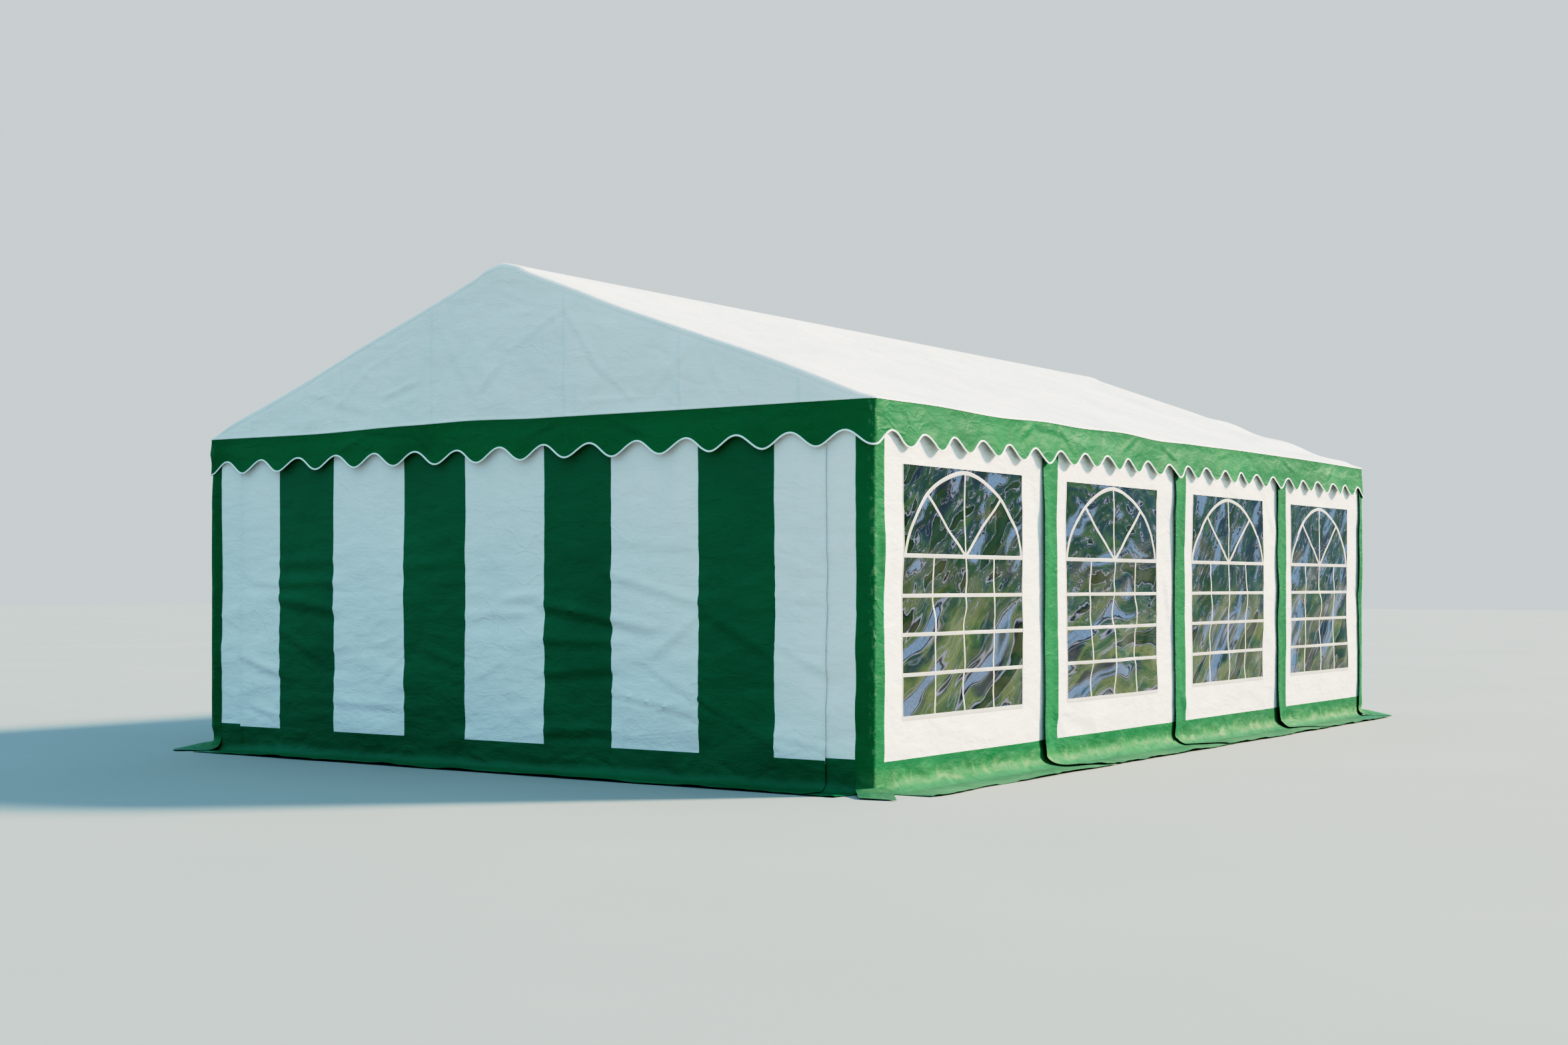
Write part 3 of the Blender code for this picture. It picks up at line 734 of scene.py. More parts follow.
def side_panel(side, bay):
    """White sheet with its window opening, green strip over the panel before it, and foot."""
    node = f"window_wall_{side}_{bay + 1}"
    start, seed, out = BAY_STARTS[bay], SEEDS[side] + 60 + bay, WALLS[side][2]
    window_near, window_far, sill, top = window_box(bay)
    first, last = bay == 0, bay == BAYS - 1
    corner = CORNER_SIDE_EDGE + SEAM_LAP
    near = -corner if first else start + STRIP_WIDTH - SEAM_LAP
    far = CORNER_SIDE_EDGE + 0.06 if last else start + BAY + LAP_TAIL
    bottom = BAND_SEAM - SEAM_LAP

    y = spread([near, window_near, window_far, far], WALL_STEP)
    z = spread([bottom, sill, top, WALL_TOP], WALL_STEP)
    middle_y, middle_z = grid((y[1:] + y[:-1]) / 2, (z[1:] + z[:-1]) / 2)
    in_window = (middle_y > window_near) & (middle_y < window_far) & (middle_z > sill) & (middle_z < top)
    y, z = grid(y, z)
    points = wall_points(side, y, z, side_lift(side, y, z))
    white = add_sheet(node + "_white", points, out, WHITE, keep=~in_window)
    declare(white, [node])

    lead = start - STRIP_LEAD
    if not first:
        y, z = grid(spread([lead, start + STRIP_WIDTH], STRIP_STEP), spread([bottom, WALL_TOP], WALL_STEP))
        lift = side_lift(side, y, z) + lap_proud(y - lead, z, seed)
        y = y + 0.005 * wave(z, 0.45, seed + 1) * (1 - smooth((y - lead) / 0.1))
        strip = add_sheet(node + "_strip", wall_points(side, y, z, lift), out, WORN_GREEN_LIT_COPY)
        declare(strip, [node])

    near = lead
    if first:
        near = -corner if ("front", side) in FLAPS else CORNER_INSET - WALL_Y
    far = WALL_Y - CORNER_INSET if last else far
    share = spread([0.0, 1.0], STRIP_STEP / (far - near))
    share, height = grid(share, spread([SIDE_SKIRT, BAND_SEAM], FOOT_STEP))
    out_share = smooth((SIDE_BEND - height) / (SIDE_BEND - SIDE_SKIRT))
    left = near + (CORNER_CUT if first else LAP_SWEEP) * out_share
    right = far + (-CORNER_CUT if last else TAIL_SWEEP - LAP_TAIL) * out_share
    y = left + (right - left) * share
    edge_wave = 0.012 * wave(y, 0.45, seed + 5) + (0.030 * smooth((-3.3 - y) / 0.5) if first else 0.0)
    lift = side_lift(side, y, height) * before_strip(np.abs(y) - BACK_SIDE_EDGE)
    lift = lift + foot_ripples(side, y, height) * before_strip(np.abs(y) - CORNER_SIDE_EDGE + 0.03) + LAYER
    if not first:
        lift = lift + lap_proud(y - left, height, seed) + LAYER * smooth((-0.03 - height) / 0.02)
    points = wall_points(side, y, height - edge_wave * smooth(height / SIDE_SKIRT), lift)
    foot = add_sheet(node + "_foot", points, out + UP, WORN_GREEN_LIT_COPY)
    declare(foot, [node])
    return white


BAR_SECTION = [(-0.5, -0.3), (-0.5, 0.45), (-0.36, 1.0), (0.36, 1.0), (0.5, 0.45), (0.5, -0.3)]
BAR_CAP = np.array([(0, 1, 4, 5), (1, 2, 3, 4)])


def bar_path(surface, line, width, step=0.03):
    """A bar along (along, up) points over a surface: points, directions across, normals and width."""
    line = np.array(line, float)
    length = np.concatenate([[0.0], np.cumsum(np.hypot(*np.diff(line, axis=0).T))])
    pale_marks_and_sheen = np.linspace(0.0, length[-1], max(3, round(length[-1] / step) + 1))
    u, v = np.interp(pale_marks_and_sheen, length, line[:, 0]), np.interp(pale_marks_and_sheen, length, line[:, 1])
    points, delta = surface(u, v), 0.004
    normals = unit(np.cross(surface(u + delta, v) - points, surface(u, v + delta) - points))
    return points, np.cross(unit(np.gradient(points, axis=0)), normals), normals, width


def bars_mesh(paths):
    """Flat bars with rounded backs and closed ends."""
    vertices, faces, count = [], [], 0
    for points, across, normals, width in paths:
        rings = [points + across * width * u + normals * BAR_HEIGHT * v for u, v in BAR_SECTION]
        rings = np.stack(rings, axis=1)
        index = count + np.arange(rings.size // 3).reshape(len(points), -1)
        vertices.append(rings.reshape(-1, 3))
        faces += [tube_quads(index), BAR_CAP[:, ::-1] + index[0, 0], BAR_CAP + index[-1, 0]]
        count += index.size
    return np.concatenate(vertices), np.concatenate(faces)


def window_bars(side, bay):
    """Arch, spokes, rows and mullions on the film, and the hem round the opening."""
    near, far, sill, top = window_box(bay)
    middle, half = (near + far) / 2, (far - near) / 2
    sign = 1.0 if side == "right" else -1.0

    def on_film(u, v):
        y = middle + sign * u + 0.004 * ripples(v, 3 * u, 0.17, 1.0, SEEDS[side] + bay)
        return wall_points(side, y, v, film_lift(side, bay, y, v) - SHEET)

    def on_wall(u, v):
        y = middle + sign * u
        return wall_points(side, y, v, side_lift(side, y, v))

    rise, span, power = top - ARCH_MARGIN - SPRING_BAR, half - ARCH_MARGIN, 2 / ARCH_POWER
    arch = [(span * math.copysign(abs(math.cos(a)) ** power, math.cos(a)),
             SPRING_BAR + rise * math.sin(a) ** power)
            for a in np.linspace(0.0, math.pi, ARCH_POINTS)]
    edge, low = half + 0.004, sill - HEM_WIDTH * 0.3
    tips = [(turn * SPOKE_TIP[0] * span, SPRING_BAR + SPOKE_TIP[1] * rise) for turn in (-1, 1)]
    bars = [(on_film, arch, WIDE_BAR), (on_film, [(-edge, SPRING_BAR), (edge, SPRING_BAR)], WIDE_BAR)]
    bars += [(on_film, [(-edge, row), (edge, row)], ROW_BAR) for row in ROW_BARS]
    bars += [(on_film, [(0.0, SPRING_BAR), tip], SPOKE_BAR) for tip in tips]
    bars += [(on_film, [(0.0, sill), (0.0, SPRING_BAR + rise)], THIN_BAR)]
    bars += [(on_film, [(u, sill), (u, SPRING_BAR)], THIN_BAR) for u in (-half / 2, half / 2)]
    bars += [(on_wall, [(-edge, low), (edge, low)], HEM_WIDTH)]
    bars += [(on_wall, [(u, low), (u, top)], SIDE_HEM) for u in (-edge, edge)]
    return add_mesh(f"window_bars_{side}_{bay + 1}", *bars_mesh([bar_path(*bar) for bar in bars]), CREAM)


def window_film(side, bay, white):
    near, far, sill, top = window_box(bay)
    y, z = grid(spread([near - FILM_TUCK, far + FILM_TUCK], FILM_STEP),
                spread([sill - FILM_TUCK, top + FILM_TUCK], WALL_STEP))
    points = wall_points(side, y, z, film_lift(side, bay, y, z) - SHEET - 0.0002)
    film = add_sheet(f"window_film_{side}_{bay + 1}", points, WALLS[side][2], FILMS[bay], thickness=FILM)
    bars = window_bars(side, bay)
    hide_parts(f"window_film_{side}_{bay + 1}")


# End walls

def door_edge(x):
    """Curl of the door panel at its free edges, with the stitched line of its hem."""
    inward = DOOR_HALF_WIDTH - np.abs(x)
    hem = 0.0015 * bell((inward - 0.005) / 0.004) - 0.0032 * bell((inward - 0.013) / 0.004)
    return DOOR_CURL * smooth((0.03 - inward) / 0.03) + hem


def door_columns(left, right):
    """Columns of a door sheet, finer over the hem at the panel's edges."""
    stops = sorted(side * (DOOR_HALF_WIDTH - step) for side in (-1, 1) for step in HEM_STOPS)
    return spread([left, *(stop for stop in stops if left < stop < right), right], WALL_STEP)


def door_panel(end):
    """Upright stripes, green lapped over white, and the foot across them."""
    node, out, post = f"door_panel_{end}", WALLS[end][2], 1 if end == "front" else 5
    bottom = DOOR_BAND_SEAM - SEAM_LAP
    for number, (left, right) in enumerate(zip(STRIPE_EDGES, STRIPE_EDGES[1:])):
        green = number % 2 == 1
        low = left - SEAM_LAP if number and not green else left
        high = right + SEAM_LAP if number < len(STRIPE_EDGES) - 2 and not green else right
        x, z = grid(door_columns(low, high), spread([bottom, WALL_TOP], WALL_STEP))
        lift = end_lift(end, x, z) + DOOR_LAYER + (LAYER if green else 0.0) + door_edge(x)
        points = wall_points(end, x, z, lift)
        stripe = add_sheet(f"{node}_stripe_{number + 1}", points, out, GREEN_SHADE_COPY if green else WHITE)
        declare(stripe, [node])

    height = spread([END_SKIRT + 0.01, DOOR_BAND_SEAM], FOOT_STEP)
    x, height = grid(door_columns(-DOOR_HALF_WIDTH, DOOR_HALF_WIDTH), height)
    lift = end_lift(end, x, height) + foot_ripples(end, x, height) + DOOR_LAYER + 2 * LAYER
    lift = lift + door_edge(x) * smooth((height - 0.02) / 0.08)
    height = height - 0.014 * wave(x, 0.5, SEEDS[end] + 5) * smooth(height / END_SKIRT)
    foot = add_sheet(f"{node}_foot", wall_points(end, x, height, lift), out + UP, GREEN_SHADE_COPY)
    declare(foot, [node])


# Corners

def corner_plan(share, front_edge, side_edge):
    """Plan of the strip round the front right corner: points, outward directions, and its length."""
    centre = np.array([WALL_X - CORNER_RADIUS, -WALL_Y + CORNER_RADIUS])
    first, arc = centre[0] - front_edge, CORNER_RADIUS * QUARTER
    length = first + arc + (-side_edge - centre[1])
    run = share * length
    angle = np.clip((run - first) / CORNER_RADIUS, 0.0, QUARTER) - QUARTER
    outward = np.stack([np.cos(angle), np.sin(angle)], axis=-1)
    straight = np.stack([-np.maximum(first - run, 0.0), np.maximum(run - first - arc, 0.0)], axis=-1)
    return centre + CORNER_RADIUS * outward + straight, outward, length


def flap_side(fold_height, run):
    """Course of a flap's side, a quarter circle and then the ground: distance out and drop."""
    radius = fold_height - FLAP_CLEARANCE
    angle = np.minimum(run / radius, QUARTER)
    return radius * (1 - np.cos(angle)) + np.maximum(run - QUARTER * radius, 0.0), radius * np.sin(angle)


def flap_course(fold_height, curve, reach):
    """Course of a ground flap from its fold to its tip: length run, distance out and drop."""
    run, slope = np.linspace(0.0, 1.4 * reach, 300), QUARTER
    for _ in range(12):
        tilt = slope * smooth(run / curve)
        out, drop = np.cumsum(np.sin(tilt)) * run[1], (np.cumsum(np.cos(tilt)) - 1) * run[1]
        curved = run <= curve
        slope = math.atan2(reach - out[curved][-1], fold_height - FLAP_CLEARANCE - drop[curved][-1])
    inside = out <= reach
    return run[inside], out[inside], drop[inside]


def heading(angle):
    return np.array([math.cos(angle), math.sin(angle)])


def corner_pieces(end, side):
    """White strip of end wall, its foot, and the green strip round the corner that ends in a ground flap."""
    node = f"corner_panel_{end}_{side}"
    x_sign, y_sign = (1 if side == "right" else -1), (1 if end == "front" else -1)
    out, seed = WALLS[end][2], SEEDS[end] + (70 if side == "right" else 80)
    inner, outer = DOOR_HALF_WIDTH - DOOR_LAP, CORNER_FRONT_EDGE + SEAM_LAP
    bottom = CORNER_BAND_SEAM - SEAM_LAP
    x, z = grid(x_sign * spread([inner, outer], STRIP_STEP), spread([bottom, WALL_TOP], WALL_STEP))
    white = add_sheet(node + "_white", wall_points(end, x, z, end_lift(end, x, z)), out, WHITE)
    declare(white, [node])

    front_edge = CORNER_FRONT_EDGE if side == "right" else LEFT_FRONT_EDGE
    side_edge = CORNER_SIDE_EDGE if end == "front" else BACK_SIDE_EDGE
    if (end, side) not in FLAPS:
        outer = WALL_X - CORNER_INSET
    share, height = grid(np.linspace(0, 1, FOOT_COLUMNS), spread([END_SKIRT, CORNER_BAND_SEAM], FOOT_STEP))
    out_share = smooth((0.03 - height) / (0.03 - END_SKIRT))
    x = x_sign * (inner + (outer - CORNER_CUT * out_share - inner) * share)
    past_edge = np.abs(x) - front_edge
    lift = end_lift(end, x, height) * before_strip(past_edge) + LAYER
    lift = lift + foot_ripples(end, x, height) * before_strip(past_edge + 0.03)
    foot = add_sheet(node + "_foot", wall_points(end, x, height, lift), out + UP, GREEN_SHADE_COPY)
    declare(foot, [node])

    fold_at, curve, reach, way, edge_way, width, hang = FLAPS.get((end, side), PLAIN_FLAP)
    run, flap_out, flap_drop = flap_course(fold_at, curve, reach)
    below, upper = spread([fold_at - run[-1], fold_at], 0.010)[:-1], spread([fold_at, WALL_TOP], 0.02)
    share, height = grid(np.linspace(0.0, 1.0, FLAP_COLUMNS), np.concatenate([below, upper]))
    plan, outward, length = corner_plan(share, front_edge, side_edge)
    upright = smooth((height - fold_at) / 0.07)
    on_front, on_side = 1 - smooth(share / 0.3), smooth((share - 0.7) / 0.3)
    lift = on_front * end_lift(end, x_sign * plan[..., 0], height)
    lift = 2 * LAYER + upright * (lift + on_side * side_lift(side, y_sign * plan[..., 1], height))
    if end == "back":
        free = smooth((share - 0.42) / 0.2) * smooth((height - fold_at + 0.08) / 0.1)
        lift = lift + BACK_LAP_PROUD * free * (1 + 0.25 * wave(height, 0.3, seed))
    if side == "left":
        lift = lift + LEFT_LAP_PROUD * upright * smooth((WALL_TOP - height) / 0.4) * smooth(share / 0.3)
    lift = lift + 0.0012 * ripples(share * length, height, 0.05, 0.11, seed + 1)

    past = np.maximum(fold_at - height, 0.0)
    away, drop = np.interp(past, run, flap_out), np.interp(past, run, flap_drop)
    side_away, side_drop = flap_side(fold_at, past)
    hanging = hang * np.abs(2 * share - 1) ** 1.6
    away, drop = away + (side_away - away) * hanging, drop + (side_drop - drop) * hanging
    nose = np.array([WALL_X, -WALL_Y]) + CORNER_RADIUS * (1 - math.sqrt(0.5)) * np.array([-1.0, 1.0])
    flap = nose + away[..., None] * heading(way) + ((share - 0.5) * width)[..., None] * heading(edge_way)
    turned = smooth(past / (curve + 0.04))
    turned = (turned + (smooth((past - 0.055) / 0.17) - turned) * hanging)[..., None]
    plan = (plan + outward * (lift + away * hanging)[..., None]) * (1 - turned) + flap * turned
    rise = np.maximum(height, fold_at) - drop
    rise = rise + 0.003 * smooth(past / 0.1) * (1 + ripples(share * length, height, 0.06, 0.2, seed + 2))
    signs = np.array([x_sign, y_sign])
    points = np.concatenate([signs * plan, rise[..., None]], axis=-1)
    hint = np.concatenate([signs * outward, 0 * rise[..., None] + 0.3], axis=-1)
    green = add_sheet(node + "_green", points, hint, WORN_GREEN_LIT_COPY)
    above, flap_length, widest = WALL_TOP - fold_at, float(run[-1]), max(length, width)
    declare(green, [node])


# Roof and gables

ROOF_TOP = RIDGE_Z + TUBE_RADIUS + FIT + CAD_SHEET
FAR_WAVE = 0.515
# Waves along the front edge on the right and left slopes: distance from the ridge, height and width
FRONT_BULGES = {1: [(0.85, -0.006, 0.25), (1.90, 0.012, 0.35)],
                -1: [(1.10, 0.004, 0.30), (2.30, 0.013, 0.30)]}
ROOF_WAVES = [(ripples, 0.006, 0.5, 0.9, 32), (ripples, 0.003, 0.2, 0.42, 33),
              (creases, 0.0035, 0.42, 1.3, 34, 0.15), (creases, -0.003, 0.6, 0.8, 35, -0.6)]


def roof_height(x):
    """The plain outer face of the roof, with its rounded ridge."""
    x, base = np.abs(x), ROOF_TOP - RIDGE_ROUND
    straight = base + RIDGE_ROUND / math.cos(SLOPE) - math.tan(SLOPE) * x
    round_top = base + np.sqrt(np.maximum(RIDGE_ROUND ** 2 - x ** 2, 0.0))
    return np.where(x < RIDGE_ROUND * math.sin(SLOPE), round_top, straight)


# The roll over the eave tube and the lip below it
EAVE_LINE = ROOF_X + EAVE_PROUD
ROLL_START = EAVE_LINE - EAVE_ROLL * (1 - math.sin(SLOPE))
ROLL_X = EAVE_LINE - EAVE_ROLL
ROLL_Z = float(roof_height(ROLL_START)) - EAVE_ROLL * math.cos(SLOPE)


def seam_height(wall, along):
    """Height of the seam between the roof or gable and the valance."""
    return through(SEAMS[wall], along)


def roof_rise(x, y):
    """Brings the roof's edge to its seam."""
    seam = np.where(x > 0, seam_height("right", y), seam_height("left", y))
    return smooth((np.abs(x) - EAVE_X + 0.045) / 0.06) * (seam - ROLL_Z + LIP)


def roof_lift(x, y):
    """How far the roof stands off that face: sag between rafters, ripples and the ends' own waves."""
    reach = np.abs(x)
    between = np.sin(math.pi * np.interp(y, LEG_LINES, np.arange(BAYS + 1))) ** 2
    free = smooth((reach - 0.03) / 0.5) * smooth((EAVE_X - 0.02 - reach) / 0.45)
    lift = -ROOF_SAG * between * free * (0.85 + 0.35 * ripples(x, y, 1.1, 1.3, 31))
    inner = smooth((reach - 0.05) / 0.25) * smooth((EAVE_X - 0.03 - reach) / 0.2) * (0.25 + 0.75 * between)
    lift = lift + inner * waves(x, y, 0, ROOF_WAVES)
    hold = smooth((EAVE_X - 0.005 - reach) / 0.12)
    far = smooth((y - 2.7) / 1.2) * smooth((reach - 1.0) / 0.35) * hold
    lift = lift + far * 0.011 * (0.35 + np.cos(2 * math.pi * (reach - 1.905) / FAR_WAVE))
    near = smooth((-2.9 - y) / 1.0) * hold
    for sign, bulges in FRONT_BULGES.items():
        for middle, height, width in bulges:
            lift = lift + near * (np.sign(x) == sign) * height * bell((reach - middle) / width)
    return lift + smooth((np.abs(y) - 3.6) / 0.35) * APEX_BELL * bell((reach - 0.115) / 0.06)


def roof_profile():
    """Half of the roof's cross section from ridge to eave lip: x, z, and the normal's angle from upright."""
    base = ROOF_TOP - RIDGE_ROUND
    rows = [(RIDGE_ROUND * math.sin(a), base + RIDGE_ROUND * math.cos(a), a)
            for a in SLOPE * np.linspace(0.0, 1.0, 9)]
    slope = spread([RIDGE_ROUND * math.sin(SLOPE), EAVE_X - 0.05, ROLL_START], ROOF_STEP)[1:]
    rows += [(x, float(roof_height(x)), SLOPE) for x in slope]
    rows += [(ROLL_X + EAVE_ROLL * math.sin(a), ROLL_Z + EAVE_ROLL * math.cos(a), a)
             for a in np.linspace(SLOPE, QUARTER, 7)[1:]]
    return np.array(rows + [(EAVE_LINE, ROLL_Z - LIP, QUARTER)])


def roof_cover():
    half = roof_profile()
    profile = np.concatenate([half[:0:-1] * [-1, 1, -1], half])
    inner_y = ROOF_Y - GABLE_ROLL
    roll = np.linspace(0.0, math.radians(88), 9)[1:]
    flat = spread([-inner_y, *LEG_LINES[1:-1], inner_y], ROOF_STEP)
    lines = [(-inner_y, -a) for a in roll[::-1]] + [(y, 0.0) for y in flat] + [(inner_y, a) for a in roll]
    y0, turn = (np.array(part)[None, :] for part in zip(*lines))
    x0, z0, angle = (profile[:, k][:, None] for k in range(3))
    end = 9.0 * (y0 > 0)
    hang = GABLE_ROLL + 0.005 * noise(x0 / 0.21, end, 92) + 0.0025 * noise(x0 / 0.08, end, 93)
    lift = roof_lift(x0, y0) + hang * (np.cos(turn) - 1)
    x = x0 + lift * np.sin(angle)
    z = z0 + lift * np.cos(angle) + roof_rise(x0, y0)
    end_seam = np.where(y0 > 0, seam_height("back", x), seam_height("front", x))
    z = np.where(turn != 0, np.maximum(z, end_seam), z)
    points = np.stack([x, y0 + GABLE_ROLL * np.sin(turn) + 0 * x0, z], axis=-1)
    roof = add_sheet("roof_cover", points, UP, WHITE)
    declare(roof, ["roof_cover"])


GABLE_WELDS = [-2.09, -1.28, -0.53, 0.49, 1.30, 2.07]
WELD_EDGES = (-0.0145, -0.0125, 0.0125, 0.0145)
GABLE_WAVES = [(ripples, 0.009, 0.6, 0.4, 0), (ripples, 0.0055, 0.22, 0.24, 1),
               (creases, 0.005, 0.4, 0.4, 2, 0.5), (creases, -0.004, 0.5, 0.3, 3, -0.7),
               (ripples, 0.0028, 0.28, 0.09, 5, 0.1)]
GABLE_FOLDS = [
    (-1.01, 2.59, -0.90, 2.43, 14, 6), (-0.95, 2.24, -0.68, 2.31, 26, 9), (-0.02, 2.37, -0.13, 2.26, 22, 7),
    (-0.10, 2.85, 0.22, 2.72, 16, 6), (-0.09, 2.86, 0.11, 2.87, 10, 4), (0.47, 2.66, 0.05, 2.44, 18, 9),
    (0.50, 2.64, 0.73, 2.32, 24, 10), (0.73, 2.32, 0.98, 2.11, 22, 7), (0.40, 2.78, 0.40, 2.60, 12, 4),
    (0.20, 2.74, 0.20, 2.58, 12, 4), (-0.01, 2.38, -0.17, 2.22, 20, 7), (0.78, 2.34, 0.70, 2.19, 20, 7),
    (0.60, 2.12, 0.98, 2.13, 26, 8), (1.38, 2.41, 1.10, 2.17, 26, 8), (1.45, 2.36, 1.61, 2.09, 24, 6),
    (-0.45, 2.60, -0.20, 2.20, 40, 7), (-1.60, 2.30, -1.10, 2.16, 35, 6),
]


def gable(end):
    """Hemmed triangle under the roof's end, with upright welds."""
    node, sign, seed = f"gable_{end}", -1 if end == "front" else 1, SEEDS[end] + 40
    half = ROOF_X - VALANCE_RADIUS
    edges = [middle + edge for middle in GABLE_WELDS for edge in WELD_EDGES]
    x = -sign * spread(sorted([-half, half, *edges]), WALL_STEP)
    end_line = np.full_like(x, sign * LEG_LINES[-1])
    bottom = seam_height(end, x)
    top = roof_height(x) + roof_lift(x, end_line) + roof_rise(x, end_line) - 0.014
    x, top, bottom = x[:, None], np.maximum(top, bottom + 0.004)[:, None], bottom[:, None]
    hem = bottom + np.minimum(GABLE_HEM, (top - bottom) / 2) * np.linspace(0.0, 1.0, 5)
    z = np.concatenate([hem[:, :-1], hem[:, -1:] + (top - hem[:, -1:]) * spread([0.0, 1.0], 0.020)], axis=1)
    near_apex = smooth((0.75 - np.abs(x)) / 0.4) * smooth((z - 2.45) / 0.2)
    lift = waves(x, z, seed, GABLE_WAVES) + near_apex * 0.004 * creases(x, z, 0.17, 0.15, seed + 4, 0.3, 6)
    lift = lift + folds(-sign * x, z, GABLE_FOLDS, 0.75, 0.75)
    inside = smooth((top - 0.020 - z) / 0.14) * smooth((z - bottom) / 0.10)
    held = smooth((top - 0.018 - z) / 0.03)
    in_hem = np.clip((z - bottom) / GABLE_HEM, 0.0, 1.0)
    lift = 1.1 * inside * lift + 0.0022 * np.sin(math.pi * in_hem) ** 0.5
    lift = lift + 0.0018 * held * sum(weld(-sign * x, middle) for middle in GABLE_WELDS)
    y = sign * (ROOF_Y + 0.0004 + lift - 0.002 * (1 - held) * smooth((z - bottom) / 0.05))
    sheet = add_sheet(node, np.stack([x + 0 * z, y, z], axis=-1), sign * ALONG_Y, WHITE)
    rise = ROOF_TOP - float(seam_height(end, 0.0))
    declare(sheet, [node])


# Valance

VALANCE_WAVES = [(ripples, 0.006, 0.42, 0.35, 73), (ripples, 0.004, 0.15, 0.10, 74, 0.4)]
VALANCE_FOLDS = [
    (-2.15, 2.030, -1.82, 1.990, 14, 6), (-2.36, 1.930, -2.20, 2.010, 16, 6),
    (-0.89, 1.950, -0.69, 2.020, 16, 6), (-0.26, 2.005, -0.05, 1.930, 16, 6),
    (-1.82, 2.030, -1.65, 1.900, 15, 5), (-3.73, 2.010, -3.66, 1.960, 12, 4),
    (0.75, 1.980, 0.98, 2.020, 15, 5), (2.10, 2.020, 2.32, 1.940, 16, 6), (3.05, 1.930, 3.20, 2.010, 15, 5),
]
# The folds were placed along the side, and are moved by this much on the ends
END_FOLDS_MOVE = 1.1


def valance_loop():
    """Rounded rectangle round the eaves: points, outward directions, run, place in the scallops and seam."""
    half_x, half_y = ROOF_X - LAYER, ROOF_Y - LAYER
    arc = VALANCE_RADIUS * QUARTER
    parts, run = [], 0.0
    for wall, scallops in SCALLOPS.items():
        normal = WALLS[wall][2][:2]
        along = np.array([-normal[1], normal[0]])
        reach, depth = (half_x, half_y) if wall in ("front", "back") else (half_y, half_x)
        straight = 2 * (reach - VALANCE_RADIUS)
        length = straight + arc
        s = np.arange(scallops * SCALLOP_COLUMNS) / (scallops * SCALLOP_COLUMNS) * length
        before, past = (np.clip(part / VALANCE_RADIUS, 0.0, QUARTER / 2)
                        for part in (arc / 2 - s, s - arc / 2 - straight))
        angle = (past - before)[:, None]
        outward = normal * np.cos(angle) + along * np.sin(angle)
        flat = np.clip(s - arc / 2, 0.0, straight) - straight / 2
        points = normal * (depth - VALANCE_RADIUS) + along * flat[:, None] + outward * VALANCE_RADIUS
        seam = seam_height(wall, flat * along.sum())
        parts.append((points, outward, run + s, s / length * scallops, seam))
        run += length
    return [np.concatenate(part) for part in zip(*parts)] + [run]


def valance_and_binding():
    plan, outward, run, phase, seam, total = valance_loop()
    share = np.linspace(0.0, 1.0, VALANCE_ROWS)[None, :]
    run, phase, top = run[:, None], phase[:, None], seam[:, None] + VALANCE_TUCK
    low = VALANCE_LOW + SCALLOP_RISE * (1 - np.cos(2 * math.pi * phase)) / 2 + 0.004 * wave(run, 0.37, 71)
    z = top + (low - top) * share
    drop = top - VALANCE_TUCK - 0.003 - z
    body = smooth(drop / 0.10)
    from_corner = np.maximum(ROOF_X - np.abs(plan[:, :1]), ROOF_Y - np.abs(plan[:, 1:]))
    flare = VALANCE_FLARE * (1 - 0.8 * bell(from_corner / 0.25))
    lift = flare * (drop / 0.23) * (1 + 0.45 * wave(run, 0.45, 72)) + waves(run, z, 0, VALANCE_WAVES)
    lift = body * (lift + 0.005 * smooth((share - 0.4) / 0.6) * wave(phase, 1.0, 75))
    lift = lift + smooth(drop / 0.03) * 0.0028 * creases(run, z, 0.30, 0.16, 76, 0.9)
    for sign in (1, -1):
        for facing, place in ((outward[:, :1], plan[:, 1:]),
                              (-outward[:, 1:], plan[:, :1] - END_FOLDS_MOVE)):
            shown = (sign * facing > 0.8) * smooth(drop / 0.02)
            lift = lift + shown * folds(sign * place, z, VALANCE_FOLDS)
    points = plan[:, None, :] + outward[:, None, :] * lift[..., None]
    points = np.concatenate([points, z[..., None]], axis=-1)
    hint = np.concatenate([outward, np.zeros((len(outward), 1))], axis=1)[:, None, :]
    valance = add_sheet("valance", points, hint, WORN_GREEN_LIT_COPY, closed=True)

    edge = points[:, -1]
    along = unit(np.roll(edge, -1, axis=0) - np.roll(edge, 1, axis=0))
    face = unit(np.cross(along, edge - points[:, -2]))
    across = np.cross(face, along)
    ring = [edge + across * (BINDING_HALF * math.cos(a) - 0.002)
            + face * (BINDING_THICK * math.sin(a) - SHEET / 2)
            for a in QUARTER / 2 * np.arange(8)]
    ring = np.stack(ring, axis=1)
    index = np.arange(ring.size // 3).reshape(ring.shape[:2])
    faces = tube_quads(np.concatenate([index, index[:1]]))
    binding = add_mesh("valance_binding", ring.reshape(-1, 3), faces, BINDING_LIT_COPY)
    nodes = [f"valance_{where}" for where in ("front", "back", "right", "left")]
    declare(valance, nodes)


# Stage

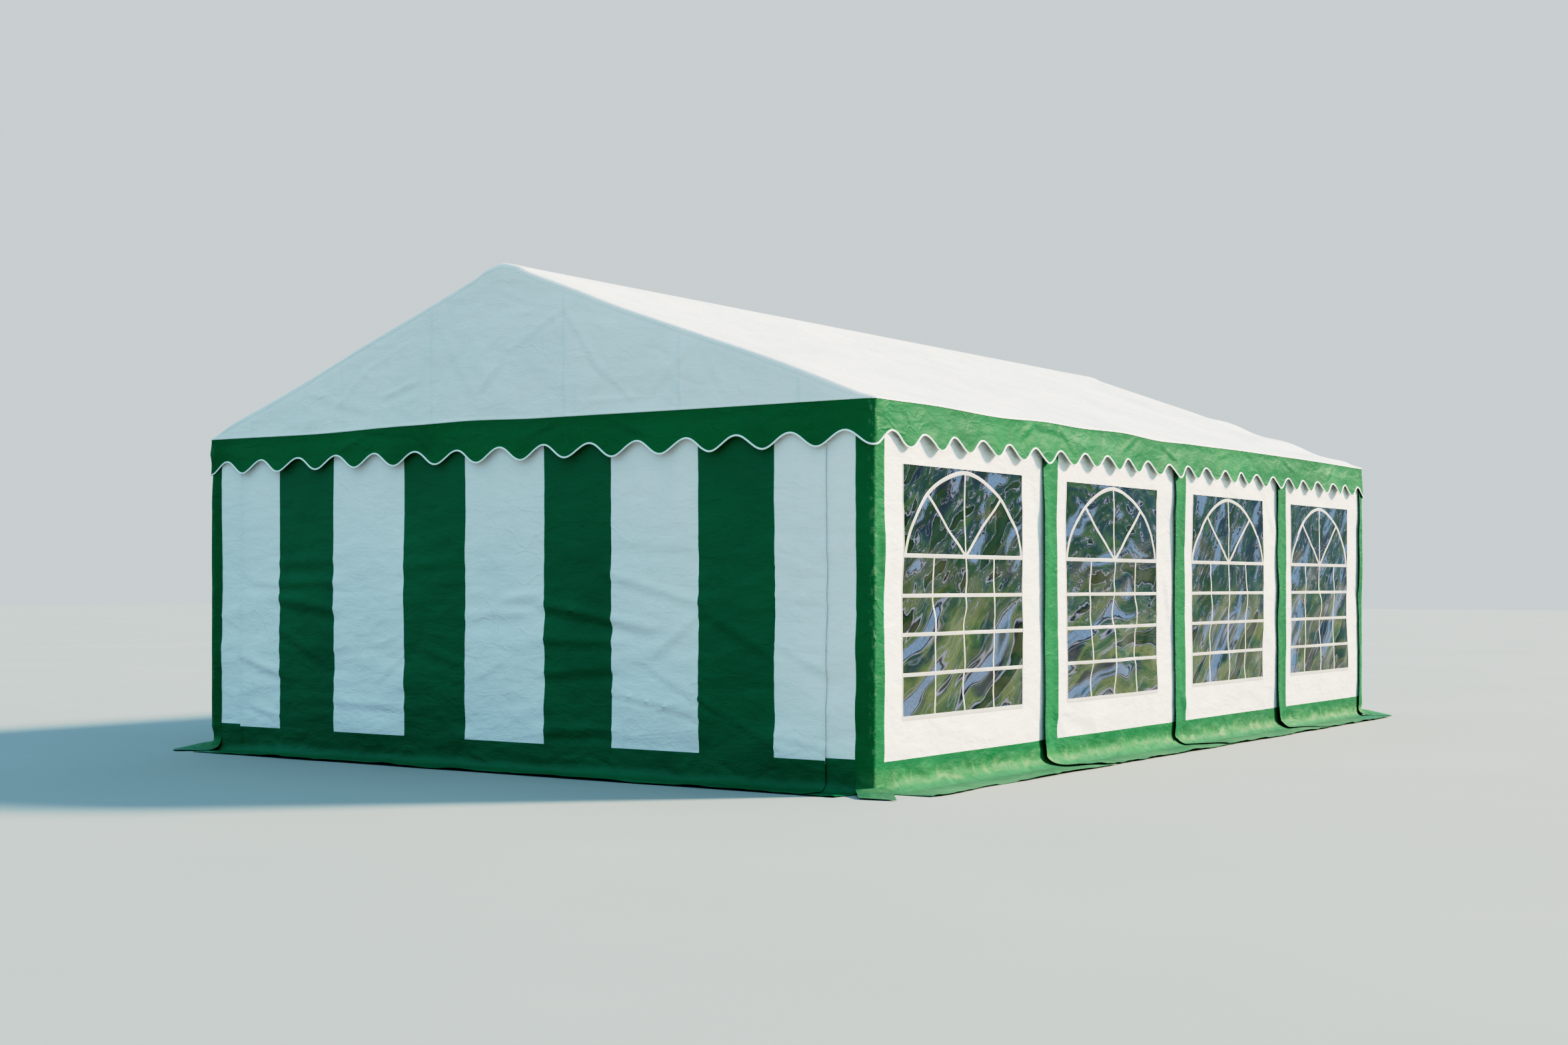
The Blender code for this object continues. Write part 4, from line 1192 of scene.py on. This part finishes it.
PICTURE_WIDTH = 2353
PICTURE_HEIGHT = 1568
VIEW_CENTRE_X = 989.5
VIEW_CENTRE_Y = 877.7
CAMERA_PLACE = (7.8155, -13.1547, 1.084)
CAMERA_TURN = 36.11
CAMERA_LENS = 47.02
SUN_TOWARDS = (0.60, 0.66, 0.45)
SUN_COLOUR = (1.0, 0.79, 0.60)
SUN_STRENGTH = 12.0
SKY_COLOUR = (0.52, 0.89, 1.13)
BACKDROP_COLOUR = (0.62, 0.70, 0.72)
FLOOR_SIZE = 160.0
FLOOR_CELLS = 40
FLOOR_COLOURS = [(0.3, (0.240, 0.268, 0.255)), (0.7, (0.260, 0.288, 0.275))]
TONE_WHITE = 4.0
TONE_CURVE = [(0.012, 0.002), (0.03, 0.013), (0.10, 0.084), (0.30, 0.30), (0.60, 0.57), (0.90, 0.68),
              (1.30, 0.755), (1.66, 0.80), (1.96, 0.845), (2.20, 0.88), (2.70, 0.92), (TONE_WHITE, 0.97)]


def make_camera():
    data = bpy.data.cameras.new("camera")
    data.lens = CAMERA_LENS
    data.sensor_width = 36.0
    data.shift_x = (PICTURE_WIDTH / 2 - VIEW_CENTRE_X) / PICTURE_WIDTH
    data.shift_y = (VIEW_CENTRE_Y - PICTURE_HEIGHT / 2) / PICTURE_WIDTH
    data.clip_end = 500.0
    camera = link("camera", data)
    camera.location = CAMERA_PLACE
    camera.rotation_euler = (math.radians(90), 0.0, math.radians(CAMERA_TURN))
    bpy.context.scene.camera = camera


def make_light():
    """A low warm key light from behind the right side, and pale blue sky light that grows upwards."""
    key = bpy.data.lights.new("key", "SUN")
    key.energy = SUN_STRENGTH
    key.angle = math.radians(9)
    key.color = SUN_COLOUR
    link("key", key).rotation_euler = Vector(SUN_TOWARDS).to_track_quat("Z", "Y").to_euler()
    world = bpy.data.worlds.new("studio")
    world.use_nodes = True
    tree = Tree(world.node_tree, "Background", "Generated")
    level = tree.range(tree.node("SeparateXYZ", "Z", {"Vector": tree.place}), 0.0, 1.0, 0.55, 1.45)
    lit = tree.mix(1.0, SKY_COLOUR, level, "MULTIPLY")
    tree.shade(Color=tree.mix(tree.node("LightPath", "Is Camera Ray"), lit, BACKDROP_COLOUR))
    bpy.context.scene.world = world


def set_tone():
    """A soft shoulder, so that sunlit white cloth keeps its folds."""
    view = bpy.context.scene.view_settings
    view.view_transform = "Standard"
    view.use_curve_mapping = True
    mapping = view.curve_mapping
    mapping.white_level = (TONE_WHITE, TONE_WHITE, TONE_WHITE)
    points = mapping.curves[3].points
    points[1].location = (1.0, TONE_CURVE[-1][1])
    for level, shown in TONE_CURVE[:-1]:
        points.new(level / TONE_WHITE, shown)
    mapping.update()


def make_floor():
    u = np.linspace(-FLOOR_SIZE / 2, FLOOR_SIZE / 2, FLOOR_CELLS + 1)
    x, y = grid(u, u)
    faces = grid_quads(np.arange(x.size).reshape(x.shape)).reshape(-1, 4)
    material, tree = new_material("floor")
    tree.shade(Base_Color=tree.ramp(tree.noise(tree.place, 0.4), FLOOR_COLOURS), Roughness=0.9)
    link_mesh("floor", np.stack([x, y, 0 * x], axis=-1).reshape(-1, 3), faces, material)


def finish_steel():
    for name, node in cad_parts.items():
        if name.startswith(("leg_", "rafter_", "eave_tube_", "ridge_tube", "crossbar_")):
            node.data.materials.clear()
            node.data.materials.append(STEEL)


make_camera()
make_light()
make_floor()
set_tone()
finish_steel()
roof_cover()
gable("front")
gable("back")
valance_and_binding()
for side in ("right", "left"):
    for bay in range(BAYS):
        window_film(side, bay, side_panel(side, bay))
for end in ("front", "back"):
    door_panel(end)
    for side in ("right", "left"):
        corner_pieces(end, side)
